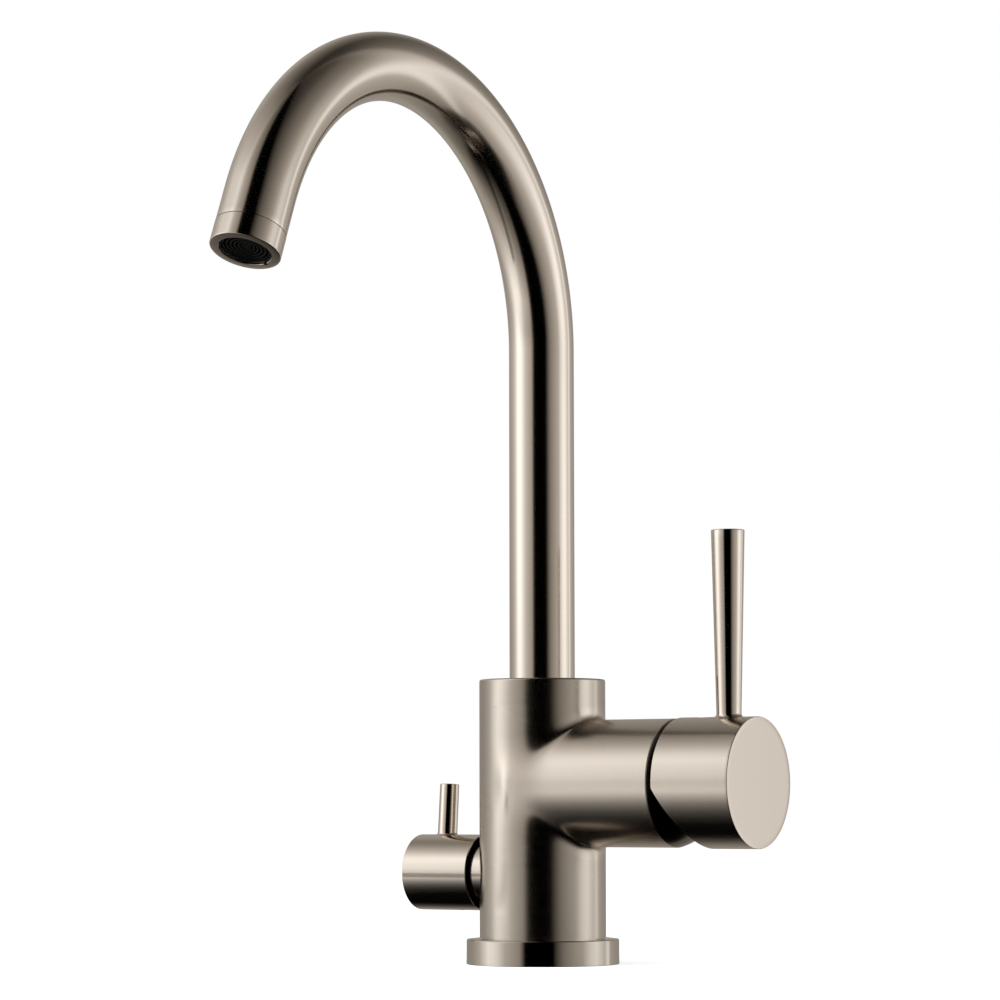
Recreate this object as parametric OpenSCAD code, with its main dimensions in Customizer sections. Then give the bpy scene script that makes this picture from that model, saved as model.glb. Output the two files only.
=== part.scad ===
// Gooseneck bar faucet with a side lever and a dishwasher shut-off valve.
// Millimetres. Origin: centre of the foot on the deck. +Z is up, the spout points along -Y,
// the lever sits on the +X side and the shut-off valve on the -X side.

/* [Foot] */
// Outside diameter of the base ring
ring_d = 58.2; // [54:0.1:64]
// Height of the base ring
ring_h = 9.5; // [6:0.1:11]
// Width of the column's shoulder that rests on the base ring
foot_shoulder = 2.1; // [1.2:0.1:3]
// Width of the rubber seal under the base ring
base_seal_w = 3; // [2:0.1:4]
// Depth of the rubber seal
base_seal_h = 2; // [1.5:0.1:3]

/* [Column] */
// Outside diameter of the column
column_d = 48.2; // [47.6:0.1:50]
// Height of the column above the deck
column_h = 108; // [105.5:0.1:114]
// Rounding of the column's upper edge
column_edge = 0.8; // [0.4:0.1:1.5]

/* [Cartridge housing] */
// Height of the housing's axis above the deck
housing_z = 68.3; // [67.5:0.1:69]
// Outside diameter of the housing
housing_d = 48.1; // [47.4:0.1:48.1]
// Distance from the column's axis to the housing's end face
housing_l = 59.85; // [58.5:0.05:62]
// Chamfer round the housing's end face
housing_edge = 0.4; // [0.2:0.1:0.6]

/* [Spout] */
// Outside diameter of the spout tube
spout_d = 25; // [24:0.1:26]
// Wall of the spout tube
spout_wall = 2; // [1.8:0.1:2.3]
// Height above the column's top where the bend starts
spout_rise = 125.9; // [80:0.1:190]
// Radius of the bend on the tube's centreline
bend_r = 94.6; // [70:0.1:120]
// Angle of the bend
bend_angle = 157.7; // [120:0.1:175]
// Straight end of the tube below the bend
tip_l = 13.4; // [12:0.1:30]
// Swivel to each side
swivel = 60; // [30:1:70]

/* [Aerator] */
// How far the aerator shell stands proud of the tube
aerator_proud = 0.1; // [0:0.05:0.8]
// Height of the visible shell
aerator_l = 8.7; // [8:0.1:12]
// Width of the lip that holds the insert
mouth_lip = 0.85; // [0.6:0.05:1.2]
// Number of rings in the insert
aerator_rings = 6; // [4:1:7]

/* [Lever] */
// Gap between the housing's end face and the lever cap
lever_gap = 2.25; // [2:0.05:3]
// Length of the lever cap
cap_l = 32; // [30:0.1:36]
// How far the lever cap stands proud of the housing
cap_proud = 0.35; // [0.2:0.05:1]
// How much more than the tilt the cap's lower rear side is cut away
cap_cut_over = 1.6; // [1:0.1:5]
// Height above the lever's axis where the cut-away starts
cap_cut_start = 1.5; // [0:0.1:3]
// Distance from the cap's rear face to the lever rod
rod_setback = 19.55; // [18:0.05:22]
// Diameter of the lever rod at its foot
rod_foot_d = 9.3; // [8:0.1:10.5]
// Diameter of the lever rod at its top
rod_top_d = 12.5; // [9:0.1:14]
// Height of the rod's top above the lever's axis
rod_top = 93.85; // [60:0.05:120]
// Fillet round the rod's foot
rod_fillet = 2; // [1:0.1:2.5]
// Tilt of the lever from closed to fully open
lever_tilt = 25; // [20:0.5:25]

/* [Cartridge] */
// Outside diameter of the cartridge
cartridge_d = 35; // [34:0.1:35]
// Distance from the housing's end face in to the lever's pivot
pivot_depth = 7.05; // [6.5:0.05:8]
// Distance from the cavity's floor to the lever's pivot
pivot_h = 31.8; // [31.5:0.1:32.5]
// Thickness of the cartridge's base
cartridge_base_t = 6; // [5.5:0.1:6.2]
// Thickness of the fixed ceramic disc
fixed_disc_t = 4; // [3.5:0.1:4.2]
// Thickness of the moving ceramic disc
moving_disc_t = 3.5; // [3:0.1:3.6]
// Width across the spindle's square stem
stem_w = 7; // [6:0.1:7]

/* [Dishwasher valve] */
// Height of the valve's axis above the deck
valve_z = 34.3; // [32:0.1:36]
// Diameter of the knob
knob_d = 29.15; // [28:0.05:32]
// Length of the knob
knob_l = 29.3; // [27:0.1:34]
// Gap between the column and the knob at the valve's axis
knob_gap = 1.9; // [1.8:0.1:3]
// Diameter of the collar between knob and column
collar_d = 24.4; // [22:0.1:26]
// Distance from the knob's front face to the pin handle
pin_setback = 11; // [9:0.1:11.5]
// Diameter of the pin handle at its foot
pin_foot_d = 7.6; // [6:0.1:8]
// Diameter of the pin handle at its top
pin_top_d = 7.4; // [5:0.1:9]
// Height of the pin handle above the knob
pin_l = 19.5; // [15:0.1:30]
// Lean of the pin handle to the back, as it was left
valve_lean = 4.5; // [0:0.5:10]

/* [Connections] */
// Core diameter of the threads for the supply hoses
hose_thread_d = 8.92; // [8.8:0.02:9]
// Distance of each inlet from both middle planes
inlet_offset = 6.5; // [6.4:0.1:6.6]
// Distance of the dishwasher outlet behind the column's axis
outlet_offset = 12.8; // [12.7:0.1:12.9]
// Core diameter of the threads for the fixing studs
stud_thread_d = 4.92; // [4.8:0.02:5]
// Distance between the two fixing studs
stud_spacing = 26; // [25:0.1:27]
// Depth of the threaded holes in the foot
thread_depth = 12; // [10:0.5:14]

/* [Hidden] */
$fn = 96;

NICKEL = [0.66, 0.61, 0.55];
BRIGHT = [0.75, 0.71, 0.66];
BRASS = [0.78, 0.66, 0.38];
BLACK = [0.08, 0.08, 0.08];
RUBBER = [0.13, 0.13, 0.14];
PLASTIC = [0.85, 0.84, 0.80];
CERAMIC = [0.93, 0.92, 0.88];
STEEL = [0.70, 0.71, 0.73];

run = 0.05;    // radial clearance of a running fit
slack = 0.3;   // clearance between moving faces that don't guide each other
fit = 0.02;    // clearance of pieces that are seated in each other
play = 0.1;    // clearance of pieces that drop in loosely
over = 1;      // how far a cut runs past what it cuts
big = 200;     // a cut that runs right out of the model
socket_r = 1.4;    // hexagon socket of the larger grub screws
socket_l = 3;

// Foot, with the shoulder and the seal's groove between column and ring
foot_r = column_d / 2 - foot_shoulder;
ring_r = ring_d / 2;
ring_edge = 0.5;
seal_r = (foot_r + ring_r) / 2;

// Spout seat in the column, set down from the column's top
seat_depth = 28;
seat_play = 0.15;
bore_r = spout_d / 2 + seat_play;
bore_floor_z = column_h - seat_depth;
chamber_step = 1.2;
chamber_r = bore_r - chamber_step;
chamber_l = 8;
chamber_z = bore_floor_z - chamber_l;
foot_l = 18;
foot_z = bore_floor_z + play;
tube_z = foot_z + foot_l;
foot_bore_r = 7.5;
foot_spigot_l = 8;
tube_in_r = spout_d / 2 - spout_wall;
bend_z = column_h + spout_rise;
joint_core_l = 2;
joint_core_in = 0.4;
guide_h = 3;
guide_t = 1.6;
guide_up = 1;
lower_guide_z = foot_z + guide_up;
o_ring_r = 1.2;
o_ring_room = 0.2;
o_ring_up = 6.2;
o_ring_step = 3.6;
o_ring_heights = [foot_z + o_ring_up, foot_z + o_ring_up + o_ring_step];
o_ring_top_r = bore_r - run;
stop_up = 14.6;
stop_z = foot_z + stop_up;
stop_groove_h = 3.6;
stop_groove_in = 2.3;
stop_groove_r = spout_d / 2 - stop_groove_in;
stop_tip_r = 1.6;
stop_screw_r = 2.5;
stop_screw_in = 1;
stop_screw_out_r = column_d / 2 - stop_screw_in;
stop_tip_in = stop_groove_r + slack;
stop_half_angle = swivel + asin(stop_tip_r / stop_tip_in) + 0.5;
upper_guide_h = 5;
upper_guide_t = 1.5;
upper_guide_in = 3;
upper_guide_z = column_h - upper_guide_in - upper_guide_h;

// Aerator in the spout's end
thread_step = 0.7;
thread_r = tube_in_r + thread_step;
tip_thread_l = 8;
shell_spigot_l = 6;
shell_r = spout_d / 2 + aerator_proud;
shell_edge = 0.3;
shell_wall_t = 1;
insert_r = thread_r - shell_wall_t;
mouth_r = insert_r - mouth_lip;
lip_t = 1;
notch_w = 1.8;
notch_in = 0.6;
notch_out = 1;
notch_turn = 255;
insert_l = 9;
insert_rim = 1.4;
insert_ring_l = 3;
insert_ring_in = 0.9;
insert_dish = 0.1;
insert_gap = 0.4;
insert_bar_w = 1;
insert_bar_l = 2;
insert_bar_in = 2.4;
screen_t = 0.8;
screen_hole_r = 1.1;
screen_pitch = 3.4;
tip_seal_w = 2.4;
tip_seal_t = 2;

// Cartridge in the housing, stacked from the cavity's floor and down from the pivot
pivot_x = housing_l - pivot_depth;
cavity_x = pivot_x - pivot_h;
cartridge_r = cartridge_d / 2;
flange_drop = 11.5;
flange_bottom = pivot_h - flange_drop;
flange_t = 2.7;
flange_top = flange_bottom + flange_t;
shell_lid_t = 1.7;
shell_top = flange_top + slack + shell_lid_t;
nut_t = 6;
nut_top = shell_top + nut_t;
nut_over = 1.5;
nut_r = cartridge_r + nut_over;
nut_room = 0.5;
nut_slot_w = 3.2;
nut_slot_l = 2;
neck_step = 3.5;
shell_neck_r = cartridge_r - neck_step;
shell_neck_l = 5;
skirt_over = 1.6;
skirt_r = nut_r + skirt_over;
skirt_t = 2.1;
skirt_gap = 1;
skirt_floor = nut_top + skirt_gap;
skirt_play = 0.5;
dome_in = 0.15;
dome_r = norm([housing_d / 2 - dome_in, pivot_depth]);
dome_t = 2.2;
dome_floor_t = 1.5;
dome_mouth_r = 13;
port_r = 2.9;
in_port = [6.5, 6];
out_port_z = -7.5;
port_seal_w = 1.6;
port_seal_t = 1.5;
film = 0.02;
disc_bed = cartridge_base_t + fixed_disc_t;
moving_disc_top = disc_bed + film + moving_disc_t;
ball_r = 3;
ball_floor_t = 0.68;
ball_seat = moving_disc_top + ball_floor_t;
spindle_arm = pivot_h - ball_seat - play - ball_r;
arm_r = 2.2;
spindle_lean = lever_tilt / 2;
disc_drop = spindle_arm * sin(spindle_lean);
shell_wall = 2;
shell_in_r = cartridge_r - shell_wall;
disc_room = 1.36;
moving_disc_r = shell_in_r - disc_drop - disc_room;
mixing_r = 7.5;
mixing_shift = 1;
flange_r = shell_in_r - slack;
rail_gap = 0.7;
rail_bottom = moving_disc_top + rail_gap;
carrier_top = flange_bottom - slack;
carrier_half_w = 9;
rotor_neck_r = 11;
rotor_neck_over = 4.2;
rotor_neck_top = pivot_h + rotor_neck_over;
slot_half_w = 4.6;
slot_half_h = 7;
eye_r = 4.5;
pin_r = 1.5;
pin_in = 0.6;

// Waterways in the body
riser_r = 3;
duct_r = 2.6;
duct_step = 0.1;
duct_drop = 10;
cross_drop = 1.5;
duct_wall = 4;
duct_turn_x = cavity_x - duct_wall;
out_duct_x = 9.5;
feed_duct_r = 2;
feed_duct_y = 4;

// Lever
cap_rear = pivot_depth + lever_gap;
cap_front = cap_rear + cap_l;
cap_r = housing_d / 2 + cap_proud;
cap_edge = 0.3;
cap_cut_angle = lever_tilt + cap_cut_over;
cap_cavity_r = dome_r + slack;
cap_front_wall = 6;
stem_end = cap_front - cap_front_wall;
stem_play = 0.5;
rod_x = cap_rear + rod_setback;
rod_foot_r = rod_foot_d / 2;
rod_edge = 0.4;
rod_seat_r = rod_foot_r + rod_fillet;
rod_seat_z = sqrt(cap_r * cap_r - rod_seat_r * rod_seat_r) - run;
rod_spigot_r = 3;
rod_spigot_l = 5.5;
plug_angle = 32;
lever_screw_r = 2.5;
lever_screw_l = 6;
screw_wall = 0.65;
plug_x = (cap_cavity_r + lever_screw_r + screw_wall - cap_r * sin(plug_angle)) / cos(plug_angle);
plug_in = 0.5;
plug_l = 2.5;
screw_tip_in = 0.2;
// Distance along the screw's axis from the cap's top to the spindle's upper face
screw_reach = (cap_r - tan(spindle_lean) * plug_x - stem_w / 2 / cos(spindle_lean))
    / (cos(plug_angle) + tan(spindle_lean) * sin(plug_angle));

// Dishwasher valve, distances run outwards from its seat
seat_x = 6;
collar_in = 3.6;
collar_seat = column_d / 2 - collar_in - seat_x;
knob_rear = column_d / 2 + knob_gap - seat_x;
knob_front = knob_rear + knob_l;
knob_edge = 0.4;
valve_bore_r = 8;
valve_ring_r = 9.5;
valve_ring_from = 4;
valve_ring_to = 9.6;
valve_thread_r = 10;
valve_thread_from = 9.8;
feed_r = 5.5;
feed_x = 2;
valve_disc_r = 6.4;
valve_disc_t = 2;
valve_hole_r = 1.9;
valve_hole_at = 3.4;
disc_space = 7;
seal_t = 1.5;
headwork_top = seal_t + disc_space;
headwork_play = 0.2;
window_w = 6;
tongue_w = 4;
tongue_l = 11;
tongue_h = 2.4;
tongue_at = seal_t + 2 * valve_disc_t;
spindle_r = 4;
valve_neck_r = 6;
neck_gap = 0.8;
valve_neck_end = knob_rear - neck_gap;
stem_ring_up = 6;
stem_ring_at = headwork_top + stem_ring_up;
stem_ring_r = 0.53;
stem_groove_w = 1.6;
stem_groove_in = 1.1;
clip_gap = 0.2;
clip_at = valve_neck_end + clip_gap;
clip_t = 0.9;
clip_in = 0.8;
clip_out = 1.6;
clip_mouth = 3;
flat_in = 0.7;
flat_l = 8;
knob_wall = 2.6;
knob_hub_r = 6.5;
knob_hub_in = 2;
knob_hub_rear = knob_rear + knob_hub_in;
pin_x = knob_front - pin_setback;
pin_floor = 1.5;
knob_solid = pin_x - pin_foot_d / 2 - pin_floor;
knob_front_wall = 5.3;
spindle_end = knob_front - knob_front_wall;
knob_screw_up = 7;
valve_screw_at = knob_hub_rear + knob_screw_up;
valve_screw_r = 2;
valve_screw_in = 0.5;
valve_socket_r = 1.1;
pin_seat_in = 0.7;
pin_seat = knob_d / 2 - pin_seat_in;
pin_edge = 0.3;
pin_spigot_r = 2;
pin_spigot_l = 5;

// ---------- helpers ----------

// Ring or tube standing on z = 0
module ring(r_out, r_in, h)
    rotate_extrude() translate([r_in, 0]) square([r_out - r_in, h]);

// Straight cylinder along +X between two distances
module x_rod(r, from, to)
    translate([from, 0, 0]) rotate([0, 90, 0]) cylinder(r = r, h = to - from);

// Ring along +X between two distances
module x_ring(r_out, r_in, from, to)
    translate([from, 0, 0]) rotate([0, 90, 0]) ring(r_out, r_in, to - from);

// Places its children at the cartridge cavity's floor, on the housing's axis
module at_cavity()
    translate([cavity_x, 0, housing_z]) children();

// Places its children at the lever's pivot
module at_pivot()
    translate([pivot_x, 0, housing_z]) children();

// Turns the spindle's +X up to its closed position
module leaned()
    rotate([0, -spindle_lean, 0]) children();

// Places its children at the shut-off valve's seat, with +Z outwards and +X up
module at_valve()
    translate([-seat_x, 0, valve_z]) rotate([0, -90, 0]) children();

// The same place, turned with the knob
module at_knob()
    at_valve() rotate([0, 0, valve_lean]) children();

// Places its children at the bend's centre, with the bend turning about +Z from +X
module at_bend()
    translate([0, -bend_r, bend_z]) rotate([90, 0, 90]) children();

// Places its children in the middle of the spout's mouth, with +Z up the tube
module at_mouth()
    at_bend() rotate([0, 0, bend_angle]) translate([bend_r, tip_l + aerator_l, 0])
        rotate([90, 0, 0]) rotate([0, 0, -90]) children();

// The gooseneck as a full rod of one radius, from a height up to its end, with a core across
// each joint between bend and straight
module gooseneck(r, from_z, tip) {
    core_r = r - joint_core_in;
    translate([0, 0, from_z]) cylinder(r = r, h = bend_z - from_z);
    translate([0, 0, bend_z - joint_core_l / 2]) cylinder(r = core_r, h = joint_core_l);
    at_bend() rotate_extrude(angle = bend_angle, $fn = 180) translate([bend_r, 0]) circle(r = r);
    at_mouth() translate([0, 0, aerator_l + tip_l - joint_core_l / 2]) cylinder(r = core_r, h = joint_core_l);
    at_mouth() translate([0, 0, aerator_l + tip_l - tip]) cylinder(r = r, h = tip);
}

// ---------- column ----------

module mixer_body() color(NICKEL) difference() {
    union() {
        cylinder(r = foot_r, h = ring_h + over);
        translate([0, 0, ring_h]) column_post();
        translate([0, 0, housing_z]) housing_post();
    }
    spout_seat();
    at_cavity() cartridge_seat();
    at_valve() valve_seat();
    waterways();
    foot_threads();
    translate([0, column_d / 2 + over, stop_z]) rotate([90, 0, 0])
        cylinder(r = stop_screw_r, h = column_d / 2 - bore_r + 2 * over);
}

// Column with a rounded upper edge
module column_post() rotate_extrude() {
    square([column_d / 2 - column_edge, column_h - ring_h]);
    square([column_d / 2, column_h - ring_h - column_edge]);
    translate([column_d / 2 - column_edge, column_h - ring_h - column_edge]) circle(r = column_edge, $fn = 32);
}

// Housing along +X with a chamfered end
module housing_post() {
    x_rod(housing_d / 2, 0, housing_l - housing_edge);
    translate([housing_l - housing_edge, 0, 0]) rotate([0, 90, 0])
        cylinder(r1 = housing_d / 2, r2 = housing_d / 2 - housing_edge, h = housing_edge);
}

module spout_seat() {
    translate([0, 0, chamber_z]) cylinder(r = chamber_r, h = column_h);
    translate([0, 0, bore_floor_z]) cylinder(r = bore_r, h = column_h);
    translate([0, 0, upper_guide_z]) cylinder(r = bore_r + upper_guide_t, h = upper_guide_h);
}

module cartridge_seat() {
    x_rod(cartridge_r + play, 0, big);
    x_rod(nut_r + run, shell_top - nut_room, big);
    x_rod(skirt_r + run, skirt_floor, big);
}

module valve_seat() {
    cylinder(r = valve_bore_r, h = big);
    translate([0, 0, feed_x - seat_x]) cylinder(r = feed_r, h = seat_x);
    translate([0, 0, valve_ring_from]) cylinder(r = valve_ring_r, h = valve_ring_to - valve_ring_from);
    translate([0, 0, valve_thread_from]) cylinder(r = valve_thread_r, h = big);
    translate([0, 0, collar_seat]) cylinder(r = collar_d / 2 + fit, h = big);
}

// Hot and cold risers, their turns to the cartridge, the mixed outlet and the valve's ducts
module waterways() {
    in_z = housing_z + in_port[1];
    cross_z = chamber_z - duct_drop - cross_drop;
    for (side = [-1, 1]) {
        translate([inlet_offset, side * inlet_offset, thread_depth - over])
            cylinder(r = riser_r, h = cross_z + cross_drop - thread_depth + 2 * over);
        translate([inlet_offset, side * in_port[0], cross_z]) rotate([0, 90, 0])
            cylinder(r = duct_r, h = duct_turn_x - inlet_offset + over);
        translate([duct_turn_x, side * in_port[0], cross_z - over])
            cylinder(r = duct_r - duct_step, h = in_z - cross_z + 2 * over);
        translate([duct_turn_x - over, side * in_port[0], in_z]) rotate([0, 90, 0])
            cylinder(r = duct_r + duct_step, h = duct_wall + 2 * over);
    }
    out_z = housing_z + out_port_z;
    translate([out_duct_x, 0, out_z - over]) cylinder(r = duct_r - 2 * duct_step, h = chamber_z - out_z + 2 * over);
    translate([out_duct_x - over / 2, 0, out_z]) rotate([0, 90, 0])
        cylinder(r = duct_r, h = cavity_x - out_duct_x + 2 * over);
    translate([-feed_x - over, -feed_duct_y, valve_z]) rotate([0, 90, 0])
        cylinder(r = feed_duct_r, h = inlet_offset + feed_x + over);
    translate([-outlet_offset, 0, thread_depth - over])
        cylinder(r = duct_r, h = valve_z - thread_depth + over - valve_bore_r);
}

module foot_threads() {
    for (side = [-1, 1]) {
        translate([inlet_offset, side * inlet_offset, -over])
            cylinder(d = hose_thread_d, h = thread_depth + over);
        translate([0, side * stud_spacing / 2, -over]) cylinder(d = stud_thread_d, h = thread_depth + over);
    }
    translate([-outlet_offset, 0, -over]) cylinder(d = hose_thread_d, h = thread_depth + over);
}

module base_ring() color(NICKEL) difference() {
    rotate_extrude() {
        translate([foot_r + fit, 0]) square([ring_r - foot_r - fit - ring_edge, ring_h]);
        translate([foot_r + fit, 0]) square([ring_r - foot_r - fit, ring_h - ring_edge]);
        translate([ring_r - ring_edge, ring_h - ring_edge]) circle(r = ring_edge, $fn = 32);
    }
    translate([0, 0, -over]) ring(seal_r + base_seal_w / 2, seal_r - base_seal_w / 2, base_seal_h + over);
}

module base_seal() color(RUBBER)
    ring(seal_r + base_seal_w / 2 - fit, seal_r - base_seal_w / 2 + fit, base_seal_h);

module upper_guide_ring() color(PLASTIC)
    translate([0, 0, upper_guide_z])
        ring(bore_r + upper_guide_t - fit, spout_d / 2 + run, upper_guide_h);

// Grub screw at the back; its tip runs in the foot's groove and limits the swivel
module spout_stop_screw() color(STEEL)
    translate([0, 0, stop_z]) rotate([-90, 0, 0]) difference() {
        union() {
            translate([0, 0, stop_tip_in]) cylinder(r = stop_tip_r, h = stop_screw_out_r - stop_tip_in);
            translate([0, 0, bore_r + over]) cylinder(r = stop_screw_r - fit, h = stop_screw_out_r - bore_r - over);
        }
        translate([0, 0, stop_screw_out_r - socket_l]) cylinder(r = socket_r, h = socket_l + over, $fn = 6);
    }

// ---------- spout ----------

module spout_tube() color(NICKEL) difference() {
    gooseneck(spout_d / 2, tube_z, tip_l);
    gooseneck(tube_in_r, tube_z - over, tip_l + over);
    at_mouth() cylinder(r = thread_r, h = aerator_l + tip_thread_l);
}

module spout_foot() color(BRASS) difference() {
    translate([0, 0, foot_z]) {
        cylinder(d = spout_d, h = foot_l);
        cylinder(r = tube_in_r - fit, h = foot_l + foot_spigot_l);
    }
    translate([0, 0, foot_z - over]) cylinder(r = foot_bore_r, h = foot_l + foot_spigot_l + 2 * over);
    translate([0, 0, lower_guide_z]) ring(spout_d, o_ring_top_r - guide_t, guide_h);
    for (z = o_ring_heights) translate([0, 0, z - o_ring_r - o_ring_room])
        ring(spout_d, o_ring_top_r - 2 * o_ring_r, 2 * (o_ring_r + o_ring_room));
    translate([0, 0, stop_z - stop_groove_h / 2]) rotate([0, 0, 90 - stop_half_angle])
        rotate_extrude(angle = 2 * stop_half_angle) translate([stop_groove_r, 0]) square([spout_d, stop_groove_h]);
}

module lower_guide_ring() color(PLASTIC)
    translate([0, 0, lower_guide_z + fit]) ring(bore_r - run, o_ring_top_r - guide_t + fit, guide_h - 2 * fit);

module spout_o_rings() color(RUBBER) for (z = o_ring_heights)
    translate([0, 0, z]) rotate_extrude() translate([o_ring_top_r - o_ring_r, 0]) circle(r = o_ring_r, $fn = 32);

// ---------- aerator ----------

module aerator_shell() color(NICKEL) at_mouth() difference() {
    union() {
        cylinder(r = shell_r - shell_edge, h = aerator_l);
        translate([0, 0, shell_edge]) cylinder(r = shell_r, h = aerator_l - 2 * shell_edge);
        cylinder(r = thread_r - fit, h = aerator_l + shell_spigot_l);
    }
    translate([0, 0, -over]) cylinder(r = mouth_r, h = big);
    translate([0, 0, lip_t]) cylinder(r = insert_r, h = big);
    key_notch();
}

// Notch in the mouth's edge that takes the key of the insert
module key_notch()
    rotate([0, 0, notch_turn]) translate([mouth_r - notch_in, -notch_w / 2, -over])
        cube([notch_in + notch_out, notch_w, lip_t + 2 * over]);

// Black insert: a rim, concentric rings and the bars that carry them
module aerator_insert() color(BLACK) at_mouth() translate([0, 0, lip_t]) {
    pitch = (mouth_r - insert_gap) / (aerator_rings + 0.5);
    half_t = pitch * 0.22;
    ring(insert_r - fit, insert_r - insert_rim, insert_l);
    for (i = [1 : aerator_rings]) translate([0, 0, insert_ring_in - insert_dish * (i - 1)])
        ring(pitch * i + half_t, pitch * i - half_t, insert_ring_l);
    translate([0, 0, insert_ring_in]) cylinder(r = 2 * half_t, h = insert_ring_l);
    translate([0, 0, insert_bar_in]) for (a = [0, 60, 120]) rotate([0, 0, a])
        translate([over - insert_r, -insert_bar_w / 2, 0]) cube([2 * (insert_r - over), insert_bar_w, insert_bar_l]);
}

// Sieve that breaks up the stream
module aerator_screen() color(STEEL) at_mouth() translate([0, 0, lip_t + insert_l + fit]) difference() {
    cylinder(r = insert_r - fit, h = screen_t);
    for (q = [-2 : 2], s = [-2 : 2]) if (abs(q + s) <= 2)
        translate([(q + s / 2) * screen_pitch, s * screen_pitch * sin(60), -over])
            cylinder(r = screen_hole_r, h = screen_t + 2 * over, $fn = 24);
}

module aerator_seal() color(RUBBER) at_mouth() translate([0, 0, aerator_l + shell_spigot_l + fit])
    ring(thread_r - fit, thread_r - tip_seal_w, tip_seal_t - 2 * fit);

// ---------- cartridge ----------

// The three ports of the cartridge: two inlets above, the mixed outlet below
module ports(r, from, to) {
    for (side = [-1, 1]) translate([0, side * in_port[0], in_port[1]]) x_rod(r, from, to);
    translate([0, 0, out_port_z]) x_rod(r, from, to);
}

module cartridge_base() color(BLACK) at_cavity() difference() {
    x_rod(cartridge_r - play, fit, cartridge_base_t);
    ports(port_r, -over, cartridge_base_t + over);
    ports(port_r + port_seal_w, -over, port_seal_t);
}

module cartridge_port_seals() color(RUBBER) at_cavity() difference() {
    ports(port_r + port_seal_w - fit, fit, port_seal_t - fit);
    ports(port_r, -over, port_seal_t + over);
}

module cartridge_fixed_disc() color(CERAMIC) at_cavity() difference() {
    x_rod(shell_in_r - fit, cartridge_base_t + fit, disc_bed);
    ports(port_r, cartridge_base_t - over, disc_bed + over);
}

module cartridge_shell() color(PLASTIC) at_cavity() difference() {
    union() {
        x_rod(cartridge_r, cartridge_base_t + fit, shell_top);
        x_rod(shell_neck_r, cartridge_base_t + fit, shell_top + shell_neck_l);
    }
    x_rod(shell_in_r, cartridge_base_t - over, flange_top + slack);
    x_rod(rotor_neck_r + play, cartridge_base_t, shell_top + shell_neck_l + over);
}

// Ring nut that clamps the cartridge, with spanner slots
module cartridge_nut() color(BRASS) at_cavity() difference() {
    x_ring(nut_r, shell_neck_r + 2 * play, shell_top + fit, nut_top);
    for (a = [0, 45, 90, 135]) rotate([a, 0, 0])
        translate([nut_top - nut_slot_l, -nut_r - over, -nut_slot_w / 2])
            cube([nut_slot_l + over, 2 * (nut_r + over), nut_slot_w]);
}

// Ball-shaped cover under the lever cap, with the skirt that screws into the housing
module cover_dome() color(BRIGHT) at_pivot() rotate([0, 90, 0]) rotate_extrude() {
    difference() {
        intersection() {
            circle(r = dome_r);
            translate([dome_mouth_r, pivot_depth + fit]) square(dome_r);
        }
        intersection() {
            circle(r = dome_r - dome_t);
            translate([0, pivot_depth + dome_floor_t]) square(dome_r);
        }
        square([skirt_r - skirt_t, pivot_depth + dome_floor_t + play]);
    }
    translate([skirt_r - skirt_t, skirt_floor + skirt_play - pivot_h])
        square([skirt_t, pivot_h + pivot_depth + dome_floor_t / 2 - skirt_floor - skirt_play]);
}

// Turning part of the cartridge: neck with the spindle's slot, flange, and rails for the carrier
module cartridge_rotor() color(PLASTIC) at_cavity() difference() {
    union() {
        x_rod(flange_r, flange_bottom, flange_top);
        x_rod(rotor_neck_r, flange_bottom, rotor_neck_top);
        difference() {
            x_rod(flange_r, rail_bottom, flange_bottom + over);
            translate([rail_bottom - over, -carrier_half_w - slack, -big / 2])
                cube([flange_bottom - rail_bottom + over, 2 * (carrier_half_w + slack), big]);
        }
    }
    translate([0, -slot_half_w, -slot_half_h]) cube([big, 2 * slot_half_w, 2 * slot_half_h]);
    translate([pivot_h, 0, 0]) rotate([90, 0, 0]) cylinder(r = pin_r + fit, h = big, center = true);
}

module spindle_pin() color(STEEL)
    at_pivot() rotate([90, 0, 0]) cylinder(r = pin_r, h = 2 * (rotor_neck_r - pin_in), center = true);

module cartridge_moving_disc() color(CERAMIC) at_cavity() translate([0, 0, -disc_drop]) difference() {
    x_rod(moving_disc_r, disc_bed + film, moving_disc_top);
    translate([0, 0, -mixing_shift]) x_rod(mixing_r, 0, disc_bed + film + moving_disc_t / 2);
}

// Carries the moving disc along between the rotor's rails
module cartridge_carrier() color(BLACK) at_cavity() translate([0, 0, -disc_drop]) difference() {
    intersection() {
        x_rod(moving_disc_r, moving_disc_top + fit, carrier_top);
        translate([0, -carrier_half_w, -big / 2]) cube([big, 2 * carrier_half_w, big]);
    }
    x_rod(ball_r + play, ball_seat, carrier_top + over);
}

// ---------- lever ----------

module lever_spindle() color(STEEL) at_pivot() leaned() difference() {
    union() {
        rotate([90, 0, 0]) cylinder(r = eye_r, h = 2 * (slot_half_w - slack), center = true);
        translate([0, -stem_w / 2, -stem_w / 2]) cube([stem_end, stem_w, stem_w]);
        x_rod(arm_r, -spindle_arm, 0);
        translate([-spindle_arm, 0, 0]) sphere(r = ball_r, $fn = 48);
    }
    rotate([90, 0, 0]) cylinder(r = pin_r + run, h = big, center = true);
}

// Axis of the lever's grub screw: from the cap's top, down and forwards to the spindle
module on_screw_axis()
    at_pivot() translate([plug_x, 0, cap_r]) rotate([0, 180 - plug_angle, 0]) children();

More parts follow.
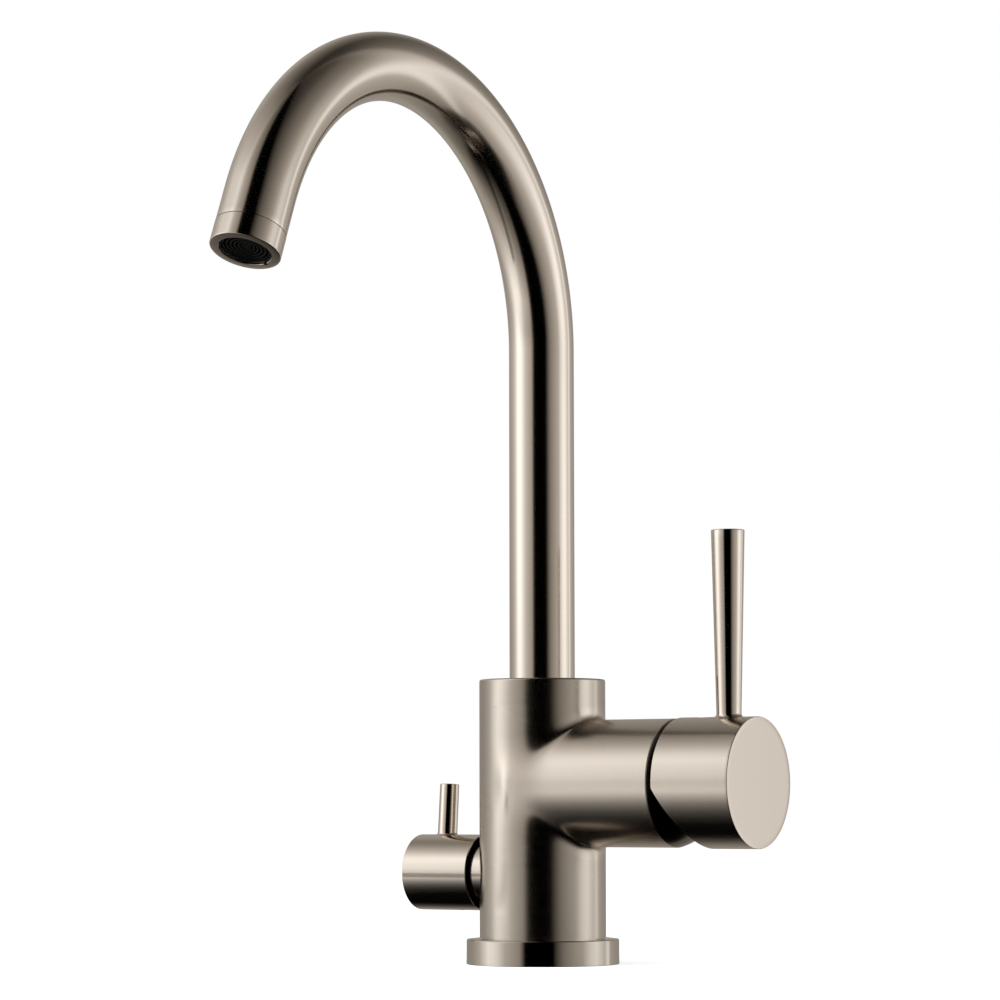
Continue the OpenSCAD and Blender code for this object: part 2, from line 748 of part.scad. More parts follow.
module lever_cap() color(NICKEL) difference() {
    at_pivot() difference() {
        union() {
            x_rod(cap_r, cap_rear, cap_front - cap_edge);
            x_rod(cap_r - cap_edge, cap_rear, cap_front);
        }
        sphere(r = cap_cavity_r, $fn = 160);
        translate([cap_rear, 0, cap_cut_start]) rotate([0, -cap_cut_angle, 0])
            translate([-big, -big / 2, -big / 2]) cube([big, big, big]);
        leaned() translate([0, -stem_w / 2 - fit, -stem_w / 2 - fit])
            cube([stem_end + stem_play, stem_w + 2 * fit, stem_w + 2 * fit]);
        translate([rod_x, 0, rod_seat_z]) cylinder(r = rod_seat_r + fit, h = cap_r);
        translate([rod_x, 0, rod_seat_z - rod_spigot_l - stem_play]) cylinder(r = rod_spigot_r + fit, h = cap_r);
    }
    on_screw_axis() translate([0, 0, -2 * over])
        cylinder(r = lever_screw_r + fit, h = screw_reach + 2 * over + stem_play);
}

module lever_grub_screw() color(STEEL) on_screw_axis()
    translate([0, 0, screw_reach - lever_screw_l - lever_screw_r * tan(plug_angle - spindle_lean)]) difference() {
        cylinder(r = lever_screw_r, h = lever_screw_l - screw_tip_in);
        translate([0, 0, -over]) cylinder(r = socket_r, h = socket_l + over, $fn = 6);
    }

// Plug that closes the screw's hole in the cap
module lever_plug() color(BLACK) on_screw_axis()
    translate([0, 0, plug_in + lever_screw_r * tan(plug_angle)]) cylinder(r = lever_screw_r, h = plug_l);

module lever_rod() color(NICKEL) at_pivot() translate([rod_x, 0, rod_seat_z]) {
    rod_h = rod_top - rod_seat_z;
    rotate_extrude() {
        polygon([[0, 0], [rod_foot_r, 0], [rod_top_d / 2, rod_h - rod_edge], [rod_top_d / 2 - rod_edge, rod_h],
            [0, rod_h]]);
        difference() {
            square([rod_seat_r, rod_fillet]);
            translate([rod_seat_r, rod_fillet]) circle(r = rod_fillet, $fn = 48);
        }
    }
    translate([0, 0, -rod_spigot_l]) cylinder(r = rod_spigot_r, h = rod_spigot_l + over);
}

// ---------- dishwasher valve ----------

module valve_seat_seal() color(RUBBER) at_valve() translate([0, 0, fit])
    ring(valve_bore_r - fit, feed_r + play, seal_t - 2 * fit);

module valve_headwork() color(BRASS) at_valve() difference() {
    thread_at = valve_thread_from + headwork_play;
    union() {
        translate([0, 0, seal_t]) cylinder(r = valve_bore_r - headwork_play, h = collar_seat - seal_t);
        translate([0, 0, thread_at]) cylinder(r = valve_thread_r - run, h = collar_seat - thread_at);
        translate([0, 0, seal_t]) cylinder(r = valve_neck_r, h = valve_neck_end - seal_t);
    }
    cylinder(r = valve_disc_r + run, h = headwork_top);
    cylinder(r = spindle_r + run, h = big);
    translate([-big / 2, -window_w / 2, tongue_at + headwork_play]) cube([big, window_w, tongue_h]);
}

// A ceramic disc of the valve with its two holes, above each other or beside each other
module valve_disc(r, t, turn) difference() {
    cylinder(r = r, h = t);
    for (side = [-1, 1]) rotate([0, 0, turn]) translate([side * valve_hole_at, 0, -over])
        cylinder(r = valve_hole_r, h = t + 2 * over);
}

module valve_fixed_disc() color(CERAMIC) at_valve() translate([0, 0, seal_t + fit])
    valve_disc(valve_disc_r, valve_disc_t - fit, 90);

module valve_turning_disc() color(CERAMIC) at_knob() translate([0, 0, seal_t + valve_disc_t + film])
    valve_disc(valve_disc_r - run, valve_disc_t - film, 0);

module valve_collar() color(NICKEL) at_valve() translate([0, 0, collar_seat + fit])
    ring(collar_d / 2, valve_neck_r + run, knob_rear - slack - collar_seat - fit);

module valve_spindle() color(BRASS) at_knob() difference() {
    union() {
        translate([-tongue_l / 2, -tongue_w / 2, tongue_at + fit]) cube([tongue_l, tongue_w, tongue_h]);
        translate([0, 0, tongue_at + over]) cylinder(r = spindle_r, h = spindle_end - tongue_at - over);
    }
    translate([0, 0, stem_ring_at - stem_groove_w / 2]) ring(big / 2, spindle_r - stem_groove_in, stem_groove_w);
    translate([-spindle_r - over, -spindle_r, valve_screw_at - flat_l / 2])
        cube([over + flat_in, 2 * spindle_r, flat_l]);
    translate([0, 0, clip_at]) ring(big / 2, spindle_r - clip_in, clip_t);
}

module valve_stem_o_ring() color(RUBBER) at_knob() translate([0, 0, stem_ring_at])
    rotate_extrude() translate([spindle_r - stem_ring_r - fit, 0]) circle(r = stem_ring_r, $fn = 32);

// Clip that keeps the spindle in the headwork
module valve_clip() color(STEEL) at_knob() translate([0, 0, clip_at + fit]) difference() {
    ring(spindle_r + clip_out, spindle_r - clip_in + fit, clip_t - 2 * fit);
    translate([spindle_r - 2 * over, -clip_mouth / 2, -over]) cube([big, clip_mouth, clip_t + 2 * over]);
}

module valve_knob() color(NICKEL) at_knob() difference() {
    translate([0, 0, knob_rear]) {
        cylinder(d = knob_d, h = knob_l - knob_edge);
        cylinder(r = knob_d / 2 - knob_edge, h = knob_l);
    }
    difference() {
        translate([0, 0, knob_rear - over]) cylinder(r = knob_d / 2 - knob_wall, h = knob_solid - knob_rear + over);
        translate([0, 0, knob_hub_rear]) cylinder(r = knob_hub_r, h = big);
    }
    translate([0, 0, knob_rear - over])
        cylinder(r = spindle_r + fit, h = spindle_end + stem_play - knob_rear + over);
    translate([pin_seat, 0, pin_x]) rotate([0, 90, 0]) cylinder(r = pin_foot_d / 2 + fit, h = knob_d);
    translate([pin_seat - pin_spigot_l - stem_play, 0, pin_x]) rotate([0, 90, 0])
        cylinder(r = pin_spigot_r + fit, h = knob_d);
    translate([0, 0, valve_screw_at]) rotate([0, -90, 0]) cylinder(r = valve_screw_r + fit, h = knob_d);
}

module valve_pin() color(NICKEL) at_knob() translate([pin_seat, 0, pin_x]) rotate([0, 90, 0]) {
    pin_h = pin_seat_in + pin_l;
    rotate_extrude() polygon([[0, 0], [pin_foot_d / 2, 0], [pin_top_d / 2, pin_h - pin_edge],
        [pin_top_d / 2 - pin_edge, pin_h], [0, pin_h]]);
    translate([0, 0, -pin_spigot_l]) cylinder(r = pin_spigot_r, h = pin_spigot_l + over);
}

module valve_grub_screw() color(STEEL) at_knob() translate([0, 0, valve_screw_at]) rotate([0, -90, 0])
    translate([0, 0, spindle_r - flat_in + fit]) difference() {
        cylinder(r = valve_screw_r, h = knob_hub_r - spindle_r + valve_screw_in);
        translate([0, 0, over]) cylinder(r = valve_socket_r, h = knob_hub_r, $fn = 6);
    }

mixer_body();
base_ring();
base_seal();
upper_guide_ring();
spout_stop_screw();
spout_tube();
spout_foot();
lower_guide_ring();
spout_o_rings();
aerator_shell();
aerator_insert();
aerator_screen();
aerator_seal();
cartridge_base();
cartridge_port_seals();
cartridge_fixed_disc();
cartridge_shell();
cartridge_nut();
cover_dome();
cartridge_rotor();
spindle_pin();
cartridge_moving_disc();
cartridge_carrier();
lever_spindle();
lever_cap();
lever_rod();
lever_grub_screw();
lever_plug();
valve_headwork();
valve_seat_seal();
valve_fixed_disc();
valve_collar();
valve_turning_disc();
valve_spindle();
valve_stem_o_ring();
valve_clip();
valve_knob();
valve_pin();
valve_grub_screw();
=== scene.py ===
import math

import bmesh
import bpy
import numpy as np
from mathutils import Matrix


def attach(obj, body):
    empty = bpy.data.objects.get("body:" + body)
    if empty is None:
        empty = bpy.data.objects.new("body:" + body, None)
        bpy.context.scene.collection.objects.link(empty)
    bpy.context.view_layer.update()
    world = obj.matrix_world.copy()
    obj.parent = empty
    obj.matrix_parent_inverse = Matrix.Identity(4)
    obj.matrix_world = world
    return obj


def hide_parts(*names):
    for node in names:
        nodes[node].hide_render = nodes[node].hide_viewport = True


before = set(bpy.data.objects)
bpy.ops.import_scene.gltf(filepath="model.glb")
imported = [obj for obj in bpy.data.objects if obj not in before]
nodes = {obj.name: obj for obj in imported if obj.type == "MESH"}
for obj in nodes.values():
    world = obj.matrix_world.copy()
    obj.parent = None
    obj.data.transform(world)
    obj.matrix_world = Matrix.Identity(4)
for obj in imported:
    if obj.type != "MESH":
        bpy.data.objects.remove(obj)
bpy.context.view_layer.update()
scene = bpy.context.scene

# ---- Camera ----
# A long lens in front of the tap and 33 degrees round to its right, a little above the deck and
# tilted slightly up, as the straight uprights and the visible mouth of the spout show.
camera_at = np.array([740.1, -1178.4, 62.1])
camera_turn, camera_tilt, camera_roll = np.radians([32.792, 4.723, -0.098])
toward = np.array([-math.sin(camera_turn), math.cos(camera_turn), 0.0])
sideways = np.array([math.cos(camera_turn), math.sin(camera_turn), 0.0])
upright = np.array([0.0, 0.0, 1.0])
sight = toward * math.cos(camera_tilt) + upright * math.sin(camera_tilt)
above = upright * math.cos(camera_tilt) - toward * math.sin(camera_tilt)
right = sideways * math.cos(camera_roll) + above * math.sin(camera_roll)
top = above * math.cos(camera_roll) - sideways * math.sin(camera_roll)
lens = bpy.data.cameras.new("camera")
lens.sensor_width = 36.0
lens.lens = 130.74
lens.clip_start, lens.clip_end = 0.05, 60.0
camera = bpy.data.objects.new("camera", lens)
stand = np.eye(4)
stand[:3, 0], stand[:3, 1], stand[:3, 2], stand[:3, 3] = right, top, -sight, camera_at * 0.001
camera.matrix_world = Matrix(stand.tolist())
scene.collection.objects.link(camera)
scene.camera = camera
scene.view_settings.view_transform = "Standard"


# ---- Studio ----
# White floor and white air. The metal mirrors neither: round the tap stands a light tent that
# only reflections see, a large soft cloth with a bright strip on each side, a black gap behind
# the camera and a dark cloth under the tap. Its levels are set to give the metal its
# bright bands and dark stripe in the camera's view.
class Tone:
    """A socket of a shader tree that is used like a number: tone + 1, 2 - tone and tone * other
    each add a Math node. Any other node is added by node()."""

    def __init__(self, tree, socket=None):
        self.tree = tree
        self.socket = socket

    def node(self, kind, settings, inputs, output=0):
        """Adds a node of that kind: first its settings, then its inputs; gives one output."""
        made = self.tree.nodes.new(kind)
        for name, value in settings.items():
            setattr(made, name, value)
        for name, value in inputs.items():
            if isinstance(value, Tone):
                self.tree.links.new(value.socket, made.inputs[name])
            else:
                made.inputs[name].default_value = value
        return Tone(self.tree, made.outputs[output]) if len(made.outputs) else None

    def math(self, operation, *others):
        """One Math node with this socket first."""
        return self.node("ShaderNodeMath", {"operation": operation}, dict(enumerate((self, *others))))

    def __add__(self, other):
        return self.math("ADD", other)

    __radd__ = __add__

    def __sub__(self, other):
        return self.math("SUBTRACT", other)

    def __rsub__(self, other):
        return self * -1.0 + other

    def __mul__(self, other):
        return self.math("MULTIPLY", other)

    __rmul__ = __mul__

    def __truediv__(self, other):
        return self.math("DIVIDE", other)

    def __rtruediv__(self, other):
        return self ** -1.0 * other

    def __pow__(self, other):
        return self.math("POWER", other)

    def share(self, low, high):
        """0 below low, 1 above high and straight between them."""
        limits = {"Value": self, "From Min": low, "From Max": high}
        return self.node("ShaderNodeMapRange", {"clamp": True}, limits)

    def through(self, stops):
        """Follows straight lines through the stops, each a place and a level."""
        level = self * 0.0 + stops[0][1]
        for (a, low), (b, high) in zip(stops, stops[1:]):
            level = level + self.share(a, b) * (high - low)
        return level

    def tint(self, dark, light):
        """The colour between two colours at this share."""
        return self.node("ShaderNodeMix", {"data_type": "RGBA"}, {0: self, 6: (*dark, 1), 7: (*light, 1)}, 2)


def seen(tree):
    """1 for rays from the camera, from a reflection or through glass, else 0."""
    names = ("Is Camera Ray", "Is Glossy Ray", "Is Transmission Ray")
    straight, glossy, clear = (Tone(tree).node("ShaderNodeLightPath", {}, {}, name) for name in names)
    return straight.math("MAXIMUM", glossy).math("MAXIMUM", clear)


def empty_material(name):
    """A material with nothing in its tree."""
    material = bpy.data.materials.new(name)
    material.use_nodes = True
    material.node_tree.nodes.clear()
    return material


def plain_mesh(name, points, faces, material):
    """An object of that name with one material, from points in metres."""
    mesh = bpy.data.meshes.new(name)
    mesh.from_pydata(points.tolist(), [], faces)
    mesh.materials.append(material)
    thing = bpy.data.objects.new(name, mesh)
    scene.collection.objects.link(thing)
    return thing


world = bpy.data.worlds.new("white_air")
scene.world = world
world.use_nodes = True
world.node_tree.nodes.clear()
air_on_matt, air_seen, floor_glow = 0.6, 1.0, 0.56
air = seen(world.node_tree) * (air_seen - air_on_matt) + air_on_matt
sky = air.node("ShaderNodeBackground", {}, {"Color": (1, 1, 1, 1), "Strength": air})
sky.node("ShaderNodeOutputWorld", {}, {"Surface": sky})

white_floor = empty_material("white_floor")
paper = Tone(white_floor.node_tree).node("ShaderNodeBsdfDiffuse", {}, {"Color": (0.8, 0.8, 0.8, 1)})
lift = seen(white_floor.node_tree) * floor_glow
glow = lift.node("ShaderNodeEmission", {}, {"Color": (1, 1, 1, 1), "Strength": lift})
both = glow.node("ShaderNodeAddShader", {}, {0: paper, 1: glow})
both.node("ShaderNodeOutputMaterial", {}, {"Surface": both})
corners = np.array([[-20, -20, 0], [20, -20, 0], [20, 20, 0], [-20, 20, 0]], float)
floor = plain_mesh("floor", corners, [(0, 1, 2, 3)], white_floor)

# How bright the tent's cloth and its two strips are by the angle from the camera, in degrees to
# its right, and by the height above the horizon in degrees, on its left and on its right.
cloth_round = [(-180, 0.32), (-150, 0.29), (-130, 0.36), (-110, 0.54), (-90, 0.68), (-72, 0.86),
               (-60, 0.54), (-50, 0.44), (-36, 0.32), (-28, 0.0), (15, 0.0), (22, 0.11), (32, 0.27),
               (50, 0.44), (65, 0.56), (90, 0.58), (106, 0.62), (112, 1.0), (116, 1.0), (121, 0.54),
               (130, 0.46), (150, 0.36), (180, 0.32)]
cloth_left = [(-90, 0.10), (-82, 0.12), (-67, 0.28), (-55, 0.42), (-45, 0.54), (-35, 0.72), (-25, 1.0),
              (-12, 1.36), (-4, 1.2), (2, 1.1), (10, 1.36), (35, 1.45), (45, 1.10), (55, 0.76),
              (67, 0.46), (80, 0.18), (90, 0.10)]
cloth_right = [(-90, 0.02), (-60, 0.03), (-53, 0.12), (-46, 0.6), (-35, 0.75), (-25, 0.85), (-15, 0.95),
               (0, 1.0), (10, 1.0), (15, 0.90), (25, 0.65), (35, 0.50), (45, 0.35), (55, 0.25),
               (67, 0.12), (80, 0.08)]
strips_round = [(-112, 0.0), (-100, 0.36), (-91, 0.70), (-81, 0.44), (-72, 0.0), (62, 0.0), (76, 0.52),
                (88, 0.72), (97, 0.40), (108, 0.0)]
strips_up = [(-36, 0.0), (-26, 0.14), (-14, 0.40), (-4, 0.58), (1, 0.84), (5, 1.0), (8, 1.0), (16, 0.62),
             (27, 0.15), (38, 0.0)]


def only_mirrored(part):
    """Keeps a stage part out of all but the reflections in the metal."""
    part.visible_camera = part.visible_diffuse = part.visible_transmission = False
    part.visible_shadow = part.visible_volume_scatter = False


tent_cloth = empty_material("tent_cloth")
tent_cloth.cycles.emission_sampling = "NONE"
place = Tone(tent_cloth.node_tree).node("ShaderNodeTexCoord", {}, {}, "Object")
x, y, z = (place.node("ShaderNodeSeparateXYZ", {}, {0: place}, axis) for axis in "XYZ")
ahead = x * -toward[0] + y * -toward[1]
aside = x * sideways[0] + y * sideways[1]
flat = (x * x + y * y) ** 0.5
bearing = aside.math("ARCTAN2", ahead) * (180 / math.pi)
height = z.math("ARCTAN2", flat) * (180 / math.pi)
to_right = (aside / flat).share(-0.35, 0.35)
rows_of_cloth = height.through(cloth_left) * (1 - to_right) + height.through(cloth_right) * to_right
strips = bearing.through(strips_round) * height.through(strips_up)
level = bearing.through(cloth_round) * rows_of_cloth + strips
warmth = level.share(0.0, 0.9).tint((1.0, 0.90, 0.78), (1.0, 0.995, 0.985))
glow = level.node("ShaderNodeEmission", {}, {"Color": warmth, "Strength": level})
glow.node("ShaderNodeOutputMaterial", {}, {"Surface": glow})
tent_r, tent_steps, tent_rows = 4.0, 60, 30
turn = np.radians(np.arange(0, 360, 360 / tent_steps))
rise = np.radians(np.linspace(-89.9, 89.9, tent_rows + 1))[:, None]
wide, tall = np.cos(rise), np.sin(rise) + 0 * turn
tent = tent_r * np.stack([wide * np.cos(turn), wide * np.sin(turn), tall], -1)
cells = [(i * tent_steps + j, i * tent_steps + (j + 1) % tent_steps,
          (i + 1) * tent_steps + (j + 1) % tent_steps, (i + 1) * tent_steps + j)
         for i in range(tent_rows) for j in range(tent_steps)]
only_mirrored(plain_mesh("light_tent", tent.reshape(-1, 3), cells, tent_cloth))

# The floor is hidden from reflections, so that the metal mirrors the tent's lower half instead.
floor.visible_glossy = False

# The dark cloth 20 mm under the tap hides the tent below it: wholly next to the tap, and less with
# the distance from the line of 150 mm between its valve and its cap; behind the tap it soon ends.
cloth_out = [(0.035, 0.01), (0.06, 0.07), (0.088, 0.17), (0.12, 0.31), (0.185, 0.58), (0.30, 0.90),
             (0.40, 1.0)]
cloth_left_end, cloth_right_end, shrink_behind = -0.06, 0.09, 6.0
dark_cloth = empty_material("dark_cloth")
place = Tone(dark_cloth.node_tree).node("ShaderNodeTexCoord", {}, {}, "Object")
x, y = (place.node("ShaderNodeSeparateXYZ", {}, {0: place}, axis) for axis in "XY")
aside = (cloth_left_end - x).math("MAXIMUM", x - cloth_right_end).math("MAXIMUM", 0.0)
ahead = (y * -1.0).math("MAXIMUM", y * shrink_behind)
clear = ((aside * aside + ahead * ahead) ** 0.5).through(cloth_out)
black = place.node("ShaderNodeEmission", {}, {"Color": (0, 0, 0, 1), "Strength": 0.0})
through = place.node("ShaderNodeBsdfTransparent", {}, {})
cloth = place.node("ShaderNodeMixShader", {}, {0: clear, 1: black, 2: through})
cloth.node("ShaderNodeOutputMaterial", {}, {"Surface": cloth})
sheet = np.array([[-1, -1, -0.02], [1, -1, -0.02], [1, 1, -0.02], [-1, 1, -0.02]])
only_mirrored(plain_mesh("cloth_under_tap", sheet, [(0, 1, 2, 3)], dark_cloth))

# A second cloth 20 mm above the floor, in front of the valve on the left, gives its knob the dark
# lower half with a sharp upper edge. A third of the light comes through it.
thin_cloth = empty_material("thin_cloth")
black = Tone(thin_cloth.node_tree).node("ShaderNodeEmission", {}, {"Color": (0, 0, 0, 1), "Strength": 0.0})
through = black.node("ShaderNodeBsdfTransparent", {}, {"Color": (0.36, 0.34, 0.32, 1)})
cloth = black.node("ShaderNodeAddShader", {}, {0: black, 1: through})
cloth.node("ShaderNodeOutputMaterial", {}, {"Surface": cloth})
sheet = np.array([[-0.31, -0.34, 0.02], [-0.2, -0.34, 0.02], [-0.053, -0.06, 0.02], [-0.103, -0.06, 0.02]])
only_mirrored(plain_mesh("cloth_by_valve", sheet, [(0, 1, 2, 3)], thin_cloth))


def soft_lamp(name, place, aim, size, power):
    """A square lamp that only matt surfaces and the floor see, pointed from its place at aim."""
    light = bpy.data.lights.new(name, "AREA")
    light.shape = "SQUARE"
    light.size = size
    light.energy = power
    lamp = bpy.data.objects.new(name, light)
    back = np.array(place, float) - aim
    back /= np.linalg.norm(back)
    side = np.cross([0, 0, 1], back)
    side /= np.linalg.norm(side)
    stand = np.eye(4)
    stand[:3, 0], stand[:3, 1], stand[:3, 2], stand[:3, 3] = side, np.cross(back, side), back, place
    lamp.matrix_world = Matrix(stand.tolist())
    lamp.visible_glossy = False
    scene.collection.objects.link(lamp)


soft_lamp("left_lamp", (-1.1, -1.2, 1.5), (0, 0, 0.1), 1.2, 22)
soft_lamp("right_lamp", (1.7, -0.6, 1.3), (0, 0, 0.1), 1.2, 16)


# ---- Mixer body ----
# One brass casting, turned and brushed round both axes and plated with satin nickel: the
# column, the arm for the cartridge and the polished blend where the two meet.
MM = 0.001
column_r, column_top, column_edge = 24.1, 108.0, 0.8
foot_r, foot_top, groove_h, groove_depth = 22.0, 9.5, 0.45, 0.9
arm_r, arm_z, arm_end, arm_edge = 24.05, 68.3, 59.85, 0.4
collar_hole_r, collar_floor, valve_z = 12.22, -20.5, 34.3
panel_low, panel_mid, panel_high = 38.0, 59.0, 98.3
root_r, polish, polish_reach = 3.0, 1.2, 5.5
# Where the column's nickel, painted darker as shade, passes over to the arm's plain nickel: radii round the
# arm's axis, and x across the column's front.
arm_tone_end, column_tone_start, tone_x_from, tone_x_to = 24.6, 30.0, -8.0, 2.0


def weld(name, patches, materials, sharp=32.0):
    """Makes one closed piece of patches. A patch is a grid of points in millimetres, a grid of
    brush places in millimetres and a material number. Each cell of a grid is a face; equal points
    are merged, faces turned outwards, and edges sharper than the angle stay sharp."""
    points, brush, cells, skins = [], [], [], []
    start = 0
    for grid, lay, skin in patches:
        rows, columns = grid.shape[:2]
        number = start + np.arange(rows * columns).reshape(rows, columns)
        cell = np.stack([number[:-1, :-1], number[1:, :-1], number[1:, 1:], number[:-1, 1:]], -1)
        points.append(grid.reshape(-1, 3))
        brush.append(lay.reshape(-1, 3))
        cells.append(cell.reshape(-1, 4))
        skins.append(np.full(len(cells[-1]), skin))
        start += rows * columns
    points, brush = np.concatenate(points) * MM, np.concatenate(brush) * MM
    cells, skins = np.concatenate(cells), np.concatenate(skins)
    mesh = bpy.data.meshes.new(name)
    mesh.vertices.add(len(points))
    mesh.vertices.foreach_set("co", points.astype(np.float32).ravel())
    mesh.loops.add(cells.size)
    mesh.loops.foreach_set("vertex_index", cells.astype(np.int32).ravel())
    mesh.polygons.add(len(cells))
    mesh.polygons.foreach_set("loop_start", np.arange(0, cells.size, 4, dtype=np.int32))
    mesh.polygons.foreach_set("material_index", skins.astype(np.int32))
    mesh.update(calc_edges=True)
    places = mesh.attributes.new("lay", "FLOAT_VECTOR", "POINT")
    places.data.foreach_set("vector", brush.astype(np.float32).ravel())
    work = bmesh.new()
    work.from_mesh(mesh)
    bmesh.ops.remove_doubles(work, verts=work.verts, dist=1.5e-6)
    bmesh.ops.dissolve_degenerate(work, edges=work.edges, dist=1e-7)
    bmesh.ops.recalc_face_normals(work, faces=work.faces)
    work.to_mesh(mesh)
    work.free()
    for material in materials:
        mesh.materials.append(material)
    smooth(mesh, sharp)
    piece = bpy.data.objects.new(name, mesh)
    scene.collection.objects.link(piece)
    return piece


def smooth(mesh, sharp):
    """Shades a mesh smooth, with sharp edges where its faces meet at more than that angle."""
    mesh.shade_smooth()
    mesh.set_sharp_from_angle(angle=math.radians(sharp))


def brushed(name, colour, rough, stretch, across, near_arm=None):
    """Satin nickel. Brush lines run where the first number of the attribute lay stays the same:
    fine noise along it changes tone, roughness and height. Slow noise on Object coordinates
    clouds the finish. stretch draws the reflections out, across turns them by a quarter. With
    near_arm the colour passes over to that one round the arm's axis and in front of the column."""
    material = empty_material(name)
    tree = material.node_tree
    lay = Tone(tree).node("ShaderNodeAttribute", {"attribute_name": "lay"}, {}, "Vector")
    place = lay.node("ShaderNodeTexCoord", {}, {}, "Object")
    fine = lay.node("ShaderNodeMapping", {}, {"Vector": lay, "Scale": (5200, 2600, 2600)})
    coarse = lay.node("ShaderNodeMapping", {}, {"Vector": lay, "Scale": (1100, 700, 700)})
    hair = lay.node("ShaderNodeTexNoise", {}, {"Vector": fine, "Scale": 1.0, "Detail": 2.0})
    streak = lay.node("ShaderNodeTexNoise", {}, {"Vector": coarse, "Scale": 1.0, "Detail": 2.0})
    cloud = lay.node("ShaderNodeTexNoise", {}, {"Vector": place, "Scale": 22.0, "Detail": 3.0})
    shade = (hair - 0.5) * 0.5 + (streak - 0.5) * 0.6 + (cloud - 0.5) * 0.6 + 0.5
    shade = shade.math("MINIMUM", 1.0).math("MAXIMUM", 0.0)
    tone = shade.tint([c * 0.96 for c in colour], [c * 1.04 for c in colour])
    # In front of the column and round the arm's axis, the colour given (painted darker as shade) passes over
    # to near_arm's plain nickel.
    if near_arm:
        x, y, z = (place.node("ShaderNodeSeparateXYZ", {}, {0: place}, axis) for axis in "XYZ")
        off_axis = (y * y + (z - arm_z * MM) * (z - arm_z * MM)) ** 0.5
        in_front = x.share(tone_x_from * MM, tone_x_to * MM)
        on_arm = (1 - off_axis.share(arm_tone_end * MM, column_tone_start * MM)) * in_front
        arm_tone = shade.tint([c * 0.96 for c in near_arm], [c * 1.04 for c in near_arm])
        tone = tone.node("ShaderNodeMix", {"data_type": "RGBA"}, {0: on_arm, 6: tone, 7: arm_tone}, 2)
    roughness = (hair - 0.5) * 0.07 + (streak - 0.5) * 0.04 + (cloud - 0.5) * 0.04 + rough
    relief = {"Strength": 0.04, "Distance": 0.00001, "Height": hair * 0.7 + streak * 0.3}
    normal = lay.node("ShaderNodeBump", {}, relief)
    finish = {"Base Color": tone, "Metallic": 1.0, "Roughness": roughness, "Normal": normal,
              "Anisotropic": stretch, "Anisotropic Rotation": 0.25 if across else 0.0}
    metal = lay.node("ShaderNodeBsdfPrincipled", {}, finish)
    metal.node("ShaderNodeOutputMaterial", {}, {"Surface": metal})
    return material


NICKEL = (0.78, 0.705, 0.62)
# The same plating as NICKEL, painted darker: painted shade, so that the column, its blend and the base ring
# render darker than the arm and the spout.
PAINTED_SHADE_NICKEL = (0.62, 0.56, 0.49)
column_nickel = brushed("column_nickel", PAINTED_SHADE_NICKEL, 0.20, 0.2, True, NICKEL)
blend_nickel = brushed("blend_nickel", PAINTED_SHADE_NICKEL, 0.22, 0.0, False, NICKEL)
arm_nickel = brushed("arm_nickel", NICKEL, 0.25, 0.0, False)


def turned(profile, centre, axis, start, steps=120, angles=None, skin=0):
    """A profile turned round an axis: the point at radius r and height h along the axis, at each
    angle, is centre + h axis + r (cos start + sin side). The profile is a list of (r, h)."""
    r, h = np.array(profile, float).T[:, :, None]
    round_ = np.linspace(0, 2 * np.pi, steps + 1) if angles is None else angles
    axis, start = np.array(axis, float), np.array(start, float)
    side = np.cross(axis, start)
    across = np.cos(round_)[None, :, None] * start + np.sin(round_)[None, :, None] * side
    grid = np.array(centre, float) + h[..., None] * axis + r[..., None] * across
    a, b = r * np.cos(round_), r * np.sin(round_)
    return grid, np.stack([h + r + 0 * a, 0.1 * a, 0.1 * b], -1), skin


def corner(r, h, size, quarter, count=6):
    """A rounded corner of a profile: an arc of that size about (r, h), from one quarter turn to
    the next, where quarter 0 starts outwards and quarter 1 starts upwards."""
    t = np.radians(np.linspace(90 * quarter, 90 * quarter + 90, count))
    return list(zip(r + size * np.cos(t), h + size * np.sin(t)))


def on_column(theta, z):
    """Points on the column at angles in degrees and heights, with brush lines round it."""
    t = np.radians(theta)
    x, y = column_r * np.cos(t), column_r * np.sin(t)
    return np.stack([x, y, z], -1), np.stack([z + column_r, 0.1 * x, 0.1 * y], -1)


def outline(left, right, levels):
    """The outline of a panel of the column in angle and height: up its right edge by the levels,
    back along the top in steps of 2 degrees, down the left edge and along the bottom."""
    across = np.linspace(left, right, int(round((right - left) / 2)) + 1)
    up = np.stack([np.full(len(levels), right), levels], 1)
    back = np.stack([across[::-1], np.full(len(across), levels[-1])], 1)
    down = np.stack([np.full(len(levels), left), levels[::-1]], 1)
    home = np.stack([across, np.full(len(across), levels[0])], 1)
    return np.concatenate([up[:-1], back[:-1], down[:-1], home])


def holed_panel(edge, hole, rows, skin):
    """A panel of the column with a hole: rows of points on straight lines, in angle and height,
    from each point of the hole's rim to the point of the outline that lies in its direction."""
    t = np.linspace(0, 1, rows)[:, None, None] ** 1.3
    flat = hole * (1 - t) + edge * t
    return *on_column(flat[..., 0], flat[..., 1]), skin


def plain_panel(left, right, levels, skin):
    """A panel of the column without a hole, in steps of 2 degrees and by the levels."""
    across = np.linspace(left, right, int(round((right - left) / 2)) + 1)
    theta, z = np.meshgrid(across, levels)
    return *on_column(theta, z), skin


low_levels = np.linspace(foot_top + groove_h, panel_low, 20)
mid_levels = np.linspace(panel_low, panel_mid, 15)
high_levels = np.linspace(panel_mid, panel_high, 27)
front_levels = np.concatenate([mid_levels, high_levels[1:]])
back_levels = np.concatenate([low_levels, mid_levels[1:]])

